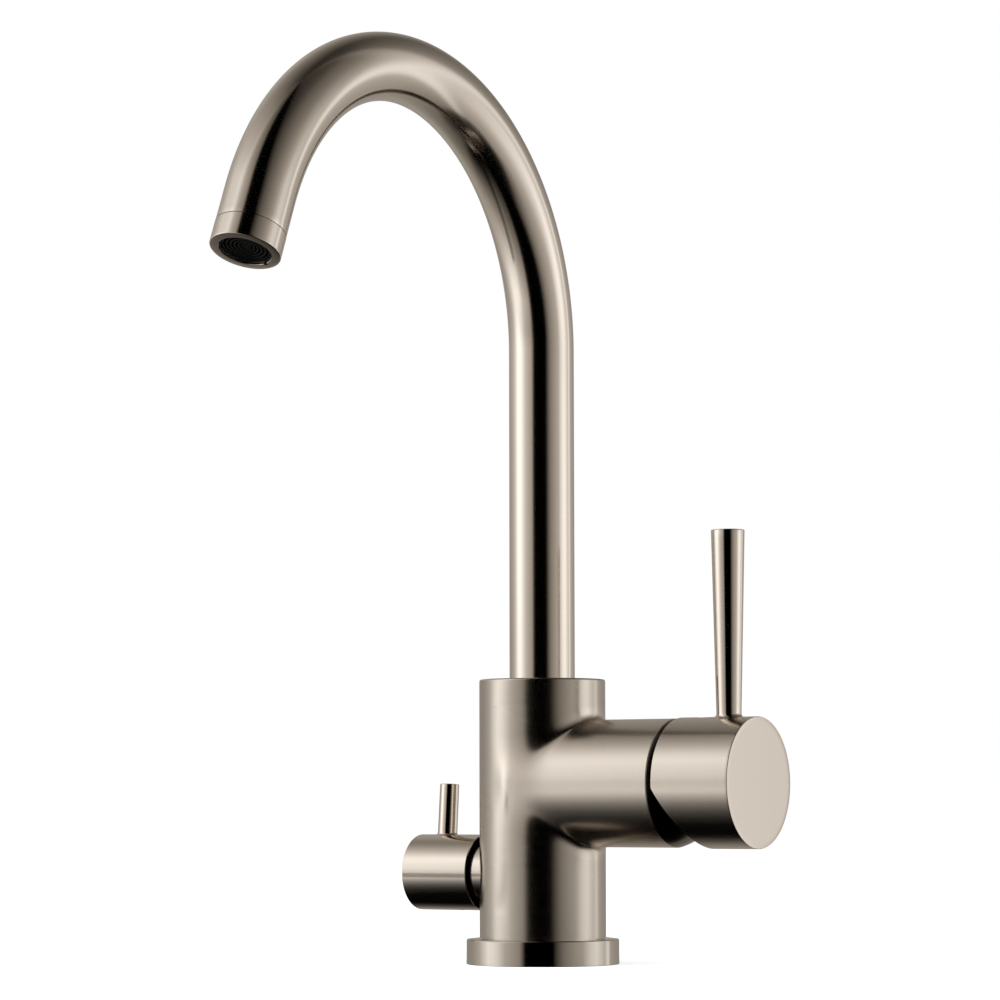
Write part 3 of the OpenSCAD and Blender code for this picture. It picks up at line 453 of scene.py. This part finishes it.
# The arm's root starts as a ball rolled in the corner of the two cylinders. Its centre is one
# radius off both; it touches the column and the arm at the two rims of the root. The points are
# then polished.
front = outline(-110, 110, front_levels)
half_high = (panel_high - panel_low) / 2
spread = np.arctan2((front[:, 1] - arm_z) / half_high, front[:, 0] / 110)
ball_y, ball_z = (arm_r + root_r) * np.cos(spread), (arm_r + root_r) * np.sin(spread)
ball_x = np.sqrt((column_r + root_r) ** 2 - ball_y ** 2)
ball = np.stack([ball_x, ball_y, arm_z + ball_z], -1)
rim = np.stack([np.degrees(np.arctan2(ball_y, ball_x)), arm_z + ball_z], -1)
to_column = np.stack([-ball_x, -ball_y, 0 * ball_x], -1) / (column_r + root_r)
to_arm = np.stack([0 * ball_x, -ball_y, -ball_z], -1) / (arm_r + root_r)
swing = np.arccos(np.clip((to_column * to_arm).sum(-1), -1, 1))[None, :, None]
t = np.linspace(0, 1, 13)[:, None, None]
bow = (np.sin((1 - t) * swing) * to_column + np.sin(t * swing) * to_arm) / np.sin(swing)
root = ball + root_r * bow
along_column = np.stack([root[..., 2] + column_r, 0.1 * root[..., 0], 0.1 * root[..., 1]], -1)
along_arm = np.stack([root[..., 0] + arm_r, 0.1 * root[..., 1], 0.1 * (root[..., 2] - arm_z)], -1)
arm_x = ball_x + (arm_end - arm_edge - ball_x) * np.linspace(0, 1, 42)[:, None]
arm_y, arm_h = arm_r * np.cos(spread) + 0 * arm_x, arm_r * np.sin(spread) + 0 * arm_x
arm_side = np.stack([arm_x, arm_y, arm_z + arm_h], -1)
arm_lay = np.stack([arm_x + arm_r, 0.1 * arm_y, 0.1 * arm_h], -1)
arm_mouth = [(arm_r, arm_end - arm_edge), (arm_r - arm_edge, arm_end), (20.65, arm_end), (20.65, 53.0),
             (19.05, 53.0), (19.05, 45.5), (17.6, 45.5), (17.6, 21.0), (0, 21.0)]


def polished(grid):
    """Moves points on to the polished union of column and arm: where fade(a) + fade(b) = 1 for
    their distances a and b off the two cylinders, and fade falls like an exponential from 1 at
    the surface to 0 at the polish's reach. Behind the column's middle, b grows with the square of x. Each
    step follows the slope of that sum."""
    p = grid.copy()
    last = math.exp(-polish_reach / polish)
    for _ in range(12):
        x, y, z = p[..., 0], p[..., 1], p[..., 2] - arm_z
        round_column, round_arm, behind = np.hypot(x, y), np.hypot(y, z), np.minimum(x, 0)
        a, b = round_column - column_r, round_arm - arm_r + 0.1 * behind ** 2
        fade_a = np.exp(-np.minimum(a, polish_reach) / polish)
        fade_b = np.exp(-np.minimum(b, polish_reach) / polish)
        excess = (fade_a - last + fade_b - last) / (1 - last) - 1
        fall_a = np.where(a < polish_reach, fade_a, 0) / (1 - last) / polish
        fall_b = np.where(b < polish_reach, fade_b, 0) / (1 - last) / polish
        slope = (fall_a[..., None] * np.stack([x, y, 0 * z], -1) / round_column[..., None]
                 + fall_b[..., None] * (np.stack([0 * x, y, z], -1) / round_arm[..., None]
                                        + 0.2 * np.stack([behind, 0 * y, 0 * z], -1)))
        p += (excess / np.maximum((slope ** 2).sum(-1), 1e-6))[..., None] * slope
    return p


# The recess for the valve's collar on the other side, and the bores behind it.
back = outline(110, 250, back_levels)
half_high = (panel_mid - foot_top) / 2
dial = np.arctan2((back[:, 1] - valve_z) / half_high, (back[:, 0] - 180) / 70)
recess_y, recess_z = -collar_hole_r * np.cos(dial), collar_hole_r * np.sin(dial)
recess_rim = np.stack([180 - np.degrees(np.arcsin(recess_y / column_r)), valve_z + recess_z], -1)
recess_x = -np.sqrt(column_r ** 2 - recess_y ** 2)
depth = np.linspace(0, 1, 4)[:, None]
recess_side = np.stack([recess_x + (collar_floor - recess_x) * depth, recess_y + 0 * depth,
                        valve_z + recess_z + 0 * depth], -1)
valve_bores = [(collar_hole_r, 14.5), (10.0, 14.5), (10.0, 9.8), (8.0, 9.8), (8.0, 0), (0, 0)]

around = np.radians(np.linspace(-110, 250, 181))
column_mouth = ([(column_r, panel_high), (column_r, column_top - column_edge - 0.4),
                 (column_r, column_top - column_edge - 0.1), (column_r, column_top - column_edge)]
                + corner(column_r - column_edge, column_top - column_edge, column_edge, 0)[1:]
                + [(18.0, column_top), (12.65, column_top), (12.65, 105.0), (14.15, 105.0), (14.15, 100.0),
                   (12.65, 100.0), (12.65, 80.0), (11.45, 80.0), (11.45, 72.0), (0, 72.0)])
groove_r = column_r - groove_depth
column_foot = [(column_r, foot_top + groove_h), (groove_r, foot_top + groove_h), (groove_r, foot_top),
               (foot_r, foot_top), (foot_r, 0), (14.0, 0), (0, 0)]
front_skin, front_lay, _ = holed_panel(front, rim, 17, 0)
body = weld("satin_body", [
    plain_panel(-110, 110, low_levels, 0),
    (polished(front_skin), front_lay, 0),
    (polished(root[:7]), along_column[:7], 1),
    (polished(root[6:]), along_arm[6:], 1),
    (polished(arm_side), arm_lay, 2),
    turned(arm_mouth, (0, 0, arm_z), (1, 0, 0), (0, 1, 0), angles=spread, skin=2),
    holed_panel(back, recess_rim, 11, 0),
    (recess_side, recess_side, 0),
    turned(valve_bores, (-6, 0, valve_z), (-1, 0, 0), (0, -1, 0), angles=dial, skin=0),
    plain_panel(110, 250, high_levels, 0),
    turned(column_mouth, (0, 0, 0), (0, 0, 1), (1, 0, 0), angles=around, skin=0),
    turned(column_foot, (0, 0, 0), (0, 0, 1), (1, 0, 0), angles=around, skin=0),
], [column_nickel, blend_nickel, arm_nickel])


def drill(piece, holes, sharp=32.0):
    """Drills round holes, each a start, a direction, a radius and a depth in millimetres, with
    an exact cut whose result becomes the piece's mesh."""
    patches = []
    for start, direction, radius, depth in holes:
        axis = np.array(direction, float) / np.linalg.norm(direction)
        first = np.cross(axis, (0.3, 0.5, 0.8))
        first /= np.linalg.norm(first)
        patches.append(turned([(0, 0), (radius, 0), (radius, depth), (0, depth)], start, axis, first, 40))
    bit = weld("drill_bit", patches, list(piece.data.materials))
    cut = piece.modifiers.new("holes", "BOOLEAN")
    cut.operation, cut.solver, cut.object = "DIFFERENCE", "EXACT", bit
    ready = piece.evaluated_get(bpy.context.evaluated_depsgraph_get())
    mesh = bpy.data.meshes.new_from_object(ready)
    piece.modifiers.clear()
    old, piece.data = piece.data, mesh
    mesh.name = piece.name
    bpy.data.objects.remove(bit)
    bpy.data.meshes.remove(old)
    smooth(mesh, sharp)


# The stop screw's hole at the back, and in the foot three for hoses and two for studs.
stop_hole = ((0, 26, 94.7), (0, -1, 0), 2.5, 14.5)
hose_r, stud_r, foot_hole_depth = 4.46, 2.46, 13
foot_holes = [((x, y, -1), (0, 0, 1), r, foot_hole_depth) for x, y, r in (
    (6.5, -6.5, hose_r), (6.5, 6.5, hose_r), (-12.8, 0, hose_r), (0, 13, stud_r), (0, -13, stud_r))]
drill(body, [stop_hole] + foot_holes)
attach(body, "column")
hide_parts("mixer_body")

# ---- Base ring ----
# A turned ring of satin nickel that the column's shoulder presses on the deck, with a rubber
# seal in a groove underneath.
# The ring gets the column's nickel painted darker: painted shade.
ring_nickel = brushed("ring_nickel", PAINTED_SHADE_NICKEL, 0.09, 0.0, True)
ring_profile = ([(22.02, 9.5), (28.6, 9.5)] + corner(28.6, 9.0, 0.5, 0)[::-1][1:]
                + [(29.1, 8.88), (29.1, 8.6), (29.1, 0.15), (28.95, 0), (27.05, 0), (27.05, 2),
                   (24.05, 2), (24.05, 0), (22.02, 0), (22.02, 9.5)])
base_ring = weld("base_ring_skin", [turned(ring_profile, (0, 0, 0), (0, 0, 1), (1, 0, 0), 180)],
                 [ring_nickel])
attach(base_ring, "column")
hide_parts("base_ring")

# ---- Spout ----
# One nickel-plated brass tube, 25 mm thick, bent in a plane to a wide arch, brushed round, with
# its foot in the column's bore and a short straight end for the aerator.
spout_nickel = brushed("spout_nickel", NICKEL, 0.13, 0.0, True)
tube_foot, bend_z, bend_r, bend_turn, tip = 98.1, 233.9, 94.6, math.radians(157.7), 13.4


def along_spout(s):
    """The spout's centreline at distances from its foot: straight up, then round the bend's
    centre, then straight on. Gives the points and the directions away from the bend's centre."""
    rise = bend_z - tube_foot
    a = np.clip((s - rise) / bend_r, 0, bend_turn)
    rest = np.minimum(s - rise, 0) + np.maximum(s - rise - bend_r * bend_turn, 0)
    out = np.stack([0 * a, np.cos(a), np.sin(a)], -1)
    ahead = np.stack([0 * a, -np.sin(a), np.cos(a)], -1)
    return np.array([0, -bend_r, bend_z]) + bend_r * out + rest[:, None] * ahead, out


spout_l = bend_z - tube_foot + bend_r * bend_turn + tip
outside = np.concatenate([np.linspace(0, bend_z - tube_foot, 60), np.linspace(
    bend_z - tube_foot, spout_l - tip, 201)[1:], np.linspace(spout_l - tip, spout_l - 0.15, 8)[1:]])
inside = np.linspace(spout_l, 0, 110)
stations = np.concatenate([outside, [spout_l], inside, [0]])
radii = np.concatenate([np.full(len(outside), 12.5), [12.48], np.full(len(inside), 10.5), [12.5]])
centre, out = along_spout(stations)
turn = np.linspace(0, 2 * np.pi, 97)
ring_out = np.cos(turn)[None, :, None] * out[:, None] + np.sin(turn)[None, :, None] * np.array([1.0, 0, 0])
tube = centre[:, None] + radii[:, None, None] * ring_out
tube_lay = np.stack([stations[:, None] + 0 * turn, 0.1 * radii[:, None] * np.cos(turn),
                     0.1 * radii[:, None] * np.sin(turn)], -1)
spout = weld("spout_skin", [(tube, tube_lay, 0)], [spout_nickel])
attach(spout, "spout")
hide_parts("spout_tube")

# ---- Aerator ----
# A turned nickel shell screwed into the spout's end, with a thin seam, a mouth with a key
# notch, and a black plastic insert of concentric rings behind it.
mouth, mouth_up, mouth_x = (0, -190.511, 249.349), (0, 0.3795, 0.9252), (-1, 0, 0)
mouth_y = np.cross(mouth_up, mouth_x)
shell_nickel = brushed("shell_nickel", NICKEL, 0.12, 0.0, True)
shell_profile = ([(9.35, 0.12), (9.47, 0), (12.2, 0)] + corner(12.2, 0.4, 0.4, 3)[1:]
                 + [(12.6, 0.5), (12.6, 0.8), (12.6, 8.32), (11.18, 8.32), (11.18, 14.7), (10.2, 14.7),
                    (10.2, 1), (9.35, 1), (9.35, 0.12)])
shell = weld("aerator_shell_skin", [turned(shell_profile, mouth, mouth_up, mouth_x, 144)], [shell_nickel])
notch = math.radians(255)
notch_way = math.cos(notch) * np.array(mouth_x, float) + math.sin(notch) * mouth_y
drill(shell, [(np.array(mouth) + notch_way * 9.3 - np.array(mouth_up) * 1, mouth_up, 0.95, 3)])
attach(shell, "spout")
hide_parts("aerator_shell")


def moulded(name, dark, light, rough, grain):
    """Moulded plastic or rubber: two close colours clouded by slow noise, and a fine grain that
    changes roughness and height. grain is its number of grains per metre."""
    material = empty_material(name)
    place = Tone(material.node_tree).node("ShaderNodeTexCoord", {}, {}, "Object")
    cloud = place.node("ShaderNodeTexNoise", {}, {"Vector": place, "Scale": 60.0, "Detail": 3.0})
    pits = place.node("ShaderNodeTexNoise", {}, {"Vector": place, "Scale": grain, "Detail": 2.0})
    normal = place.node("ShaderNodeBump", {}, {"Strength": 0.15, "Distance": 0.00005, "Height": pits})
    finish = {"Base Color": cloud.tint(dark, light), "Roughness": (pits - 0.5) * 0.2 + rough,
              "Normal": normal, "Specular IOR Level": 0.3}
    plastic = place.node("ShaderNodeBsdfPrincipled", {}, finish)
    plastic.node("ShaderNodeOutputMaterial", {}, {"Surface": plastic})
    return material


def dress(material, *names):
    """Gives CAD nodes that keep their own shape a better material."""
    for name in names:
        mesh = nodes[name].data
        mesh.materials.clear()
        mesh.materials.append(material)


black_plastic = moulded("black_plastic", (0.003, 0.003, 0.003), (0.006, 0.006, 0.006), 0.55, 2500.0)
guide_plastic = moulded("guide_plastic", (0.70, 0.69, 0.65), (0.78, 0.77, 0.73), 0.45, 2500.0)
seal_rubber = moulded("seal_rubber", (0.015, 0.015, 0.016), (0.025, 0.025, 0.026), 0.62, 3500.0)
dress(black_plastic, "aerator_insert")

# ---- Fittings inside the column and the spout's end ----
# Brass foot of the spout with its grooves, white guide rings, rubber seals, the steel stop
# screw at the back and the steel sieve: small turned or moulded pieces that are pressed in.


def turned_metal(name, dark, light, rough, lines):
    """Bare turned metal: noise drawn out flat gives fine tool marks across the Z axis that
    change tone, roughness and height; lines is their number per metre."""
    material = empty_material(name)
    place = Tone(material.node_tree).node("ShaderNodeTexCoord", {}, {}, "Object")
    flat = place.node("ShaderNodeMapping", {}, {"Vector": place, "Scale": (0.04, 0.04, 1.0)})
    marks = place.node("ShaderNodeTexNoise", {}, {"Vector": flat, "Scale": lines, "Detail": 2.0})
    cloud = place.node("ShaderNodeTexNoise", {}, {"Vector": place, "Scale": 45.0, "Detail": 3.0})
    shade = marks * 0.6 + cloud * 0.4
    normal = place.node("ShaderNodeBump", {}, {"Strength": 0.2, "Distance": 0.00003, "Height": marks})
    finish = {"Base Color": shade.tint(dark, light), "Metallic": 1.0, "Normal": normal,
              "Roughness": (marks - 0.5) * 0.15 + (cloud - 0.5) * 0.1 + rough}
    metal = place.node("ShaderNodeBsdfPrincipled", {}, finish)
    metal.node("ShaderNodeOutputMaterial", {}, {"Surface": metal})
    return material


brass = turned_metal("bare_brass", (0.62, 0.46, 0.18), (0.78, 0.62, 0.30), 0.30, 2600.0)
steel = turned_metal("bare_steel", (0.50, 0.50, 0.51), (0.62, 0.62, 0.63), 0.28, 3000.0)
dress(brass, "spout_foot")
dress(guide_plastic, "upper_guide_ring", "lower_guide_ring")
dress(seal_rubber, "base_seal", "spout_o_rings", "aerator_seal")
dress(steel, "spout_stop_screw", "aerator_screen")

# ---- Cover dome ----
# A pressed and polished cover that screws into the arm over the cartridge; its ball shape fills
# the gap behind the lever's cap, glossy. Its nickel is painted dark, to about 0.3, as painted shade in that
# gap, on top of the dark it mirrors.
pivot = (52.8, 0, arm_z)
dome_r, dome_wall, dome_mouth, dome_back = 24.918, 2.2, 13.0, 7.07


def ball_arc(radius, first, last, count):
    """Profile of a ball: points at that radius between two heights along the axis."""
    h = radius * np.sin(np.linspace(math.asin(first / radius), math.asin(last / radius), count))
    return list(zip(np.sqrt(radius ** 2 - h ** 2), h))


outer_end = math.sqrt(dome_r ** 2 - dome_mouth ** 2)
inner_end = math.sqrt((dome_r - dome_wall) ** 2 - dome_mouth ** 2)
dome_profile = (ball_arc(dome_r, dome_back, outer_end, 26) + ball_arc(dome_r - dome_wall, inner_end, 8.55, 16)
                + [(18.5, 8.55), (18.5, 0.7), (20.6, 0.7), (20.6, dome_back)]
                + [(math.sqrt(dome_r ** 2 - dome_back ** 2), dome_back)])
# The dome's nickel, painted dark to about 0.3, is painted shade.
bright_nickel = brushed("bright_nickel", (0.30, 0.26, 0.22), 0.12, 0.0, False)
cover = weld("dome_skin", [turned(dome_profile, pivot, (1, 0, 0), (0, 1, 0), 144)], [bright_nickel])
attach(cover, "column")
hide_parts("cover_dome")

# ---- Cartridge ----
# The ceramic mixing cartridge in the arm: a plastic shell with its base, turning neck and
# carrier, two lapped ceramic discs, rubber port seals, and a brass ring nut that clamps it.


def lapped(name, dark, light, rough):
    """Lapped ceramic: even, faintly speckled, with a trace of height from fine noise."""
    material = empty_material(name)
    place = Tone(material.node_tree).node("ShaderNodeTexCoord", {}, {}, "Object")
    speck = place.node("ShaderNodeTexNoise", {}, {"Vector": place, "Scale": 4000.0, "Detail": 2.0})
    cloud = place.node("ShaderNodeTexNoise", {}, {"Vector": place, "Scale": 70.0, "Detail": 3.0})
    normal = place.node("ShaderNodeBump", {}, {"Strength": 0.05, "Distance": 0.00002, "Height": speck})
    finish = {"Base Color": (speck * 0.4 + cloud * 0.6).tint(dark, light), "Normal": normal,
              "Roughness": (cloud - 0.5) * 0.1 + rough}
    glaze = place.node("ShaderNodeBsdfPrincipled", {}, finish)
    glaze.node("ShaderNodeOutputMaterial", {}, {"Surface": glaze})
    return material


ceramic = lapped("white_ceramic", (0.82, 0.81, 0.77), (0.90, 0.89, 0.86), 0.18)
dress(black_plastic, "cartridge_base", "cartridge_carrier")
dress(guide_plastic, "cartridge_shell", "cartridge_rotor")
dress(ceramic, "cartridge_fixed_disc", "cartridge_moving_disc")
dress(seal_rubber, "cartridge_port_seals")
dress(brass, "cartridge_nut")
dress(steel, "spindle_pin", "lever_spindle")

# ---- Lever cap ----
# A thick nickel cap turned from bar and brushed, hollowed to a ball inside and cut away at the
# lower rear so that it can tilt over the dome; a black plug hides its grub screw on top.
cap_nickel = brushed("cap_nickel", NICKEL, 0.21, 0.0, False)
cap_rear, cap_front, cap_r, cap_edge = 9.3, 41.3, 24.4, 0.3
hollow_r, cut_start, cut_slope = 25.218, -2.0, 0.579
turn = np.linspace(0, 2 * np.pi, 193)
up = np.sin(turn)


def cap_grid(x, r):
    """Points of the cap at distances from the pivot and radii, at every angle of turn."""
    y, z = r * np.cos(turn), r * np.sin(turn)
    lay = np.stack([x + r + 0 * y, 0.1 * y, 0.1 * z], -1)
    return np.stack([x + 0 * y, y, z], -1) + np.array(pivot), lay, 0


# The rear edge lies on two planes: upright above cut_start, sloping forwards below it. The
# hollow's rim is where the ball meets them, the root of a quadratic at each angle.
rear_out = cap_rear + np.maximum(0, cut_start - cap_r * up) * cut_slope
upright_rim = math.sqrt(hollow_r ** 2 - cap_rear ** 2) + 0 * up
base, lean = cap_rear + cut_start * cut_slope, up * cut_slope
inside_root = (base * lean) ** 2 - (1 + lean ** 2) * (base ** 2 - hollow_r ** 2)
sloping_rim = (base * lean + np.sqrt(inside_root)) / (1 + lean ** 2)
rim_r = np.where(upright_rim * up > cut_start, upright_rim, sloping_rim)
rear_in = cap_rear + np.maximum(0, cut_start - rim_r * up) * cut_slope
t = np.linspace(0, 1, 36)[:, None]
side_x = rear_out + (cap_front - cap_edge - rear_out) * t
edge = np.array(corner(cap_r - cap_edge, cap_front - cap_edge, cap_edge, 0)[::-1]).T[:, ::-1, None]
face_r = np.linspace(cap_r - cap_edge, 0, 14)[:, None]
t = np.linspace(0, 1, 4)[:, None]
land_r = cap_r + (rim_r - cap_r) * t
land_x = cap_rear + np.maximum(0, cut_start - land_r * up) * cut_slope
sweep = np.arctan2(rim_r, rear_in) * np.linspace(1, 0, 26)[:, None]
cap = weld("lever_cap_skin", [
    cap_grid(side_x, cap_r + 0 * side_x),
    cap_grid(edge[1] + 0 * turn, edge[0] + 0 * turn),
    cap_grid(cap_front + 0 * face_r, face_r + 0 * turn),
    cap_grid(land_x, land_r),
    cap_grid(hollow_r * np.cos(sweep), hollow_r * np.sin(sweep)),
], [cap_nickel])
plug_turn = math.radians(32)
plug_x = 18.204
drill(cap, [((pivot[0] + plug_x - 2 * math.sin(plug_turn), 0, pivot[2] + cap_r + 2 * math.cos(plug_turn)),
             (math.sin(plug_turn), 0, -math.cos(plug_turn)), 2.52, 19)])
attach(cap, "lever")
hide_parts("lever_cap")
dress(black_plastic, "lever_plug")
dress(steel, "lever_grub_screw")

# ---- Lever rod ----
# A thin turned rod, wider at its top, standing on the cap with a small fillet at its foot.
rod_nickel = brushed("rod_nickel", NICKEL, 0.10, 0.0, True)


def standing_post(name, barrel_r, foot_r, fillet, top_r, height, edge, origin, along, up, material):
    """A tapered post that stands on a barrel. Round the post, its fillet starts on the barrel's
    surface, at height sqrt(R^2 - y^2), and bends up to the post as a conic arc with its corner
    at the post's foot; then the taper, a rounded edge and the flat top. Below, it closes inside
    the barrel."""
    turn = np.linspace(0, 2 * np.pi, 97)
    c, s = np.cos(turn), np.sin(turn)

    def skin_height(r):
        return np.sqrt(barrel_r ** 2 - (r * s) ** 2)

    wide = foot_r + fillet
    first = np.stack([wide + 0 * c, skin_height(wide)], -1)
    knee = np.stack([foot_r + 0 * c, skin_height(foot_r)], -1)
    last = knee + np.array([0, fillet])
    t = np.linspace(0, 1, 12)[:, None, None]
    weight = 2 * math.sqrt(0.5) * t * (1 - t)
    arc = ((1 - t) ** 2 * first + weight * knee + t ** 2 * last) / ((1 - t) ** 2 + weight + t ** 2)
    taper_t = np.linspace(0, 1, 24)[1:, None, None]
    shoulder = np.stack([top_r + 0 * c, height - edge + 0 * c], -1)
    taper = last * (1 - taper_t) + shoulder * taper_t
    rounded = np.array(corner(top_r - edge, height - edge, edge, 0))[1:, None, :] + 0 * first
    lid = np.array([[0.5 * top_r, height], [0, height]])[:, None, :] + 0 * first
    below = np.stack([first * 0 + np.array([0, barrel_r - 3]), first - np.array([0.4, 1.2])])
    rh = np.concatenate([below, arc, taper, rounded, lid])
    r, h = rh[..., 0], rh[..., 1]
    along, up = np.array(along, float), np.array(up, float)
    across = np.cross(up, along)
    grid = np.array(origin) + (r * c)[..., None] * along + (r * s)[..., None] * across + h[..., None] * up
    lay = np.stack([h + r, 0.1 * r * c, 0.1 * r * s], -1)
    return weld(name, [(grid, lay, 0)], [material])


rod = standing_post("lever_rod_skin", cap_r, 4.65, 1.3, 6.25, 93.85, 0.4, (81.65, 0, arm_z), (1, 0, 0),
                    (0, 0, 1), rod_nickel)
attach(rod, "lever")
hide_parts("lever_rod")

# ---- Shut-off valve: collar, knob and pin ----
# The quarter-turn valve on the column's left: a turned collar set in the column, a cup-shaped
# knob over the headwork with a rounded front edge, and a short pin to turn it by.
knob_nickel = brushed("knob_nickel", NICKEL, 0.15, 0.0, False)
collar_profile = [(6.05, 14.52), (12.2, 14.52), (12.2, 19.55), (12.05, 19.7), (6.05, 19.7), (6.05, 14.52)]
valve_seat = (-6, 0, valve_z)
collar = weld("collar_skin", [turned(collar_profile, valve_seat, (-1, 0, 0), (0, -1, 0), 120)],
              [knob_nickel])
knob_r, knob_rear, knob_front, knob_edge = 14.575, 20.0, 49.3, 0.4
knob_hollow = [(0, 44.5), (4.02, 44.5), (4.02, 22.0), (6.5, 22.0), (6.5, 33.0), (11.975, 33.0),
               (11.975, 25.0), (13.9, knob_rear + 0.5), (14.1, knob_rear)]
knob_profile = ([(14.1, knob_rear), (knob_r - 0.2, knob_rear), (knob_r, knob_rear + 0.2)]
                + [(knob_r, h) for h in np.linspace(knob_rear + 2, knob_front - 0.6, 14)]
                + corner(knob_r - knob_edge, knob_front - knob_edge, knob_edge, 0)
                + [(knob_r * k, knob_front) for k in (0.8, 0.6, 0.4, 0.2, 0)])
# The knob's hollow gets near-black metal, darker than any bare metal: painted shade, so that the gap behind
# the knob shows black.
painted_shade_hollow = turned_metal("painted_shade_hollow", (0.03, 0.026, 0.022), (0.05, 0.045, 0.04), 0.5, 2600.0)
knob_turn = math.radians(4.5)
knob_up = (0, math.sin(knob_turn), math.cos(knob_turn))
knob = weld("knob_skin", [turned(knob_profile, valve_seat, (-1, 0, 0), knob_up, 144),
                          turned(knob_hollow, valve_seat, (-1, 0, 0), knob_up, 144, skin=1)],
            [knob_nickel, painted_shade_hollow])
screw_from = np.array([-35.0, 0, valve_z]) - 16 * np.array(knob_up)
drill(knob, [(screw_from, knob_up, 2.02, 12)])
pin_nickel = brushed("pin_nickel", NICKEL, 0.10, 0.0, True)
pin = standing_post("pin_skin", knob_r, 3.8, 0.9, 3.7, knob_r + 19.5, 0.3, (-44.3, 0, valve_z),
                    (-1, 0, 0), knob_up, pin_nickel)
for piece, body_name, node in ((collar, "column", "valve_collar"), (knob, "valve", "valve_knob"),
                               (pin, "valve", "valve_pin")):
    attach(piece, body_name)
    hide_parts(node)

# ---- Inside the shut-off valve ----
# Brass headwork and spindle, two small ceramic discs, a rubber seat seal and stem ring, and a
# steel clip and grub screw.
dress(brass, "valve_headwork", "valve_spindle")
dress(ceramic, "valve_fixed_disc", "valve_turning_disc")
dress(seal_rubber, "valve_seat_seal", "valve_stem_o_ring")
dress(steel, "valve_clip", "valve_grub_screw")
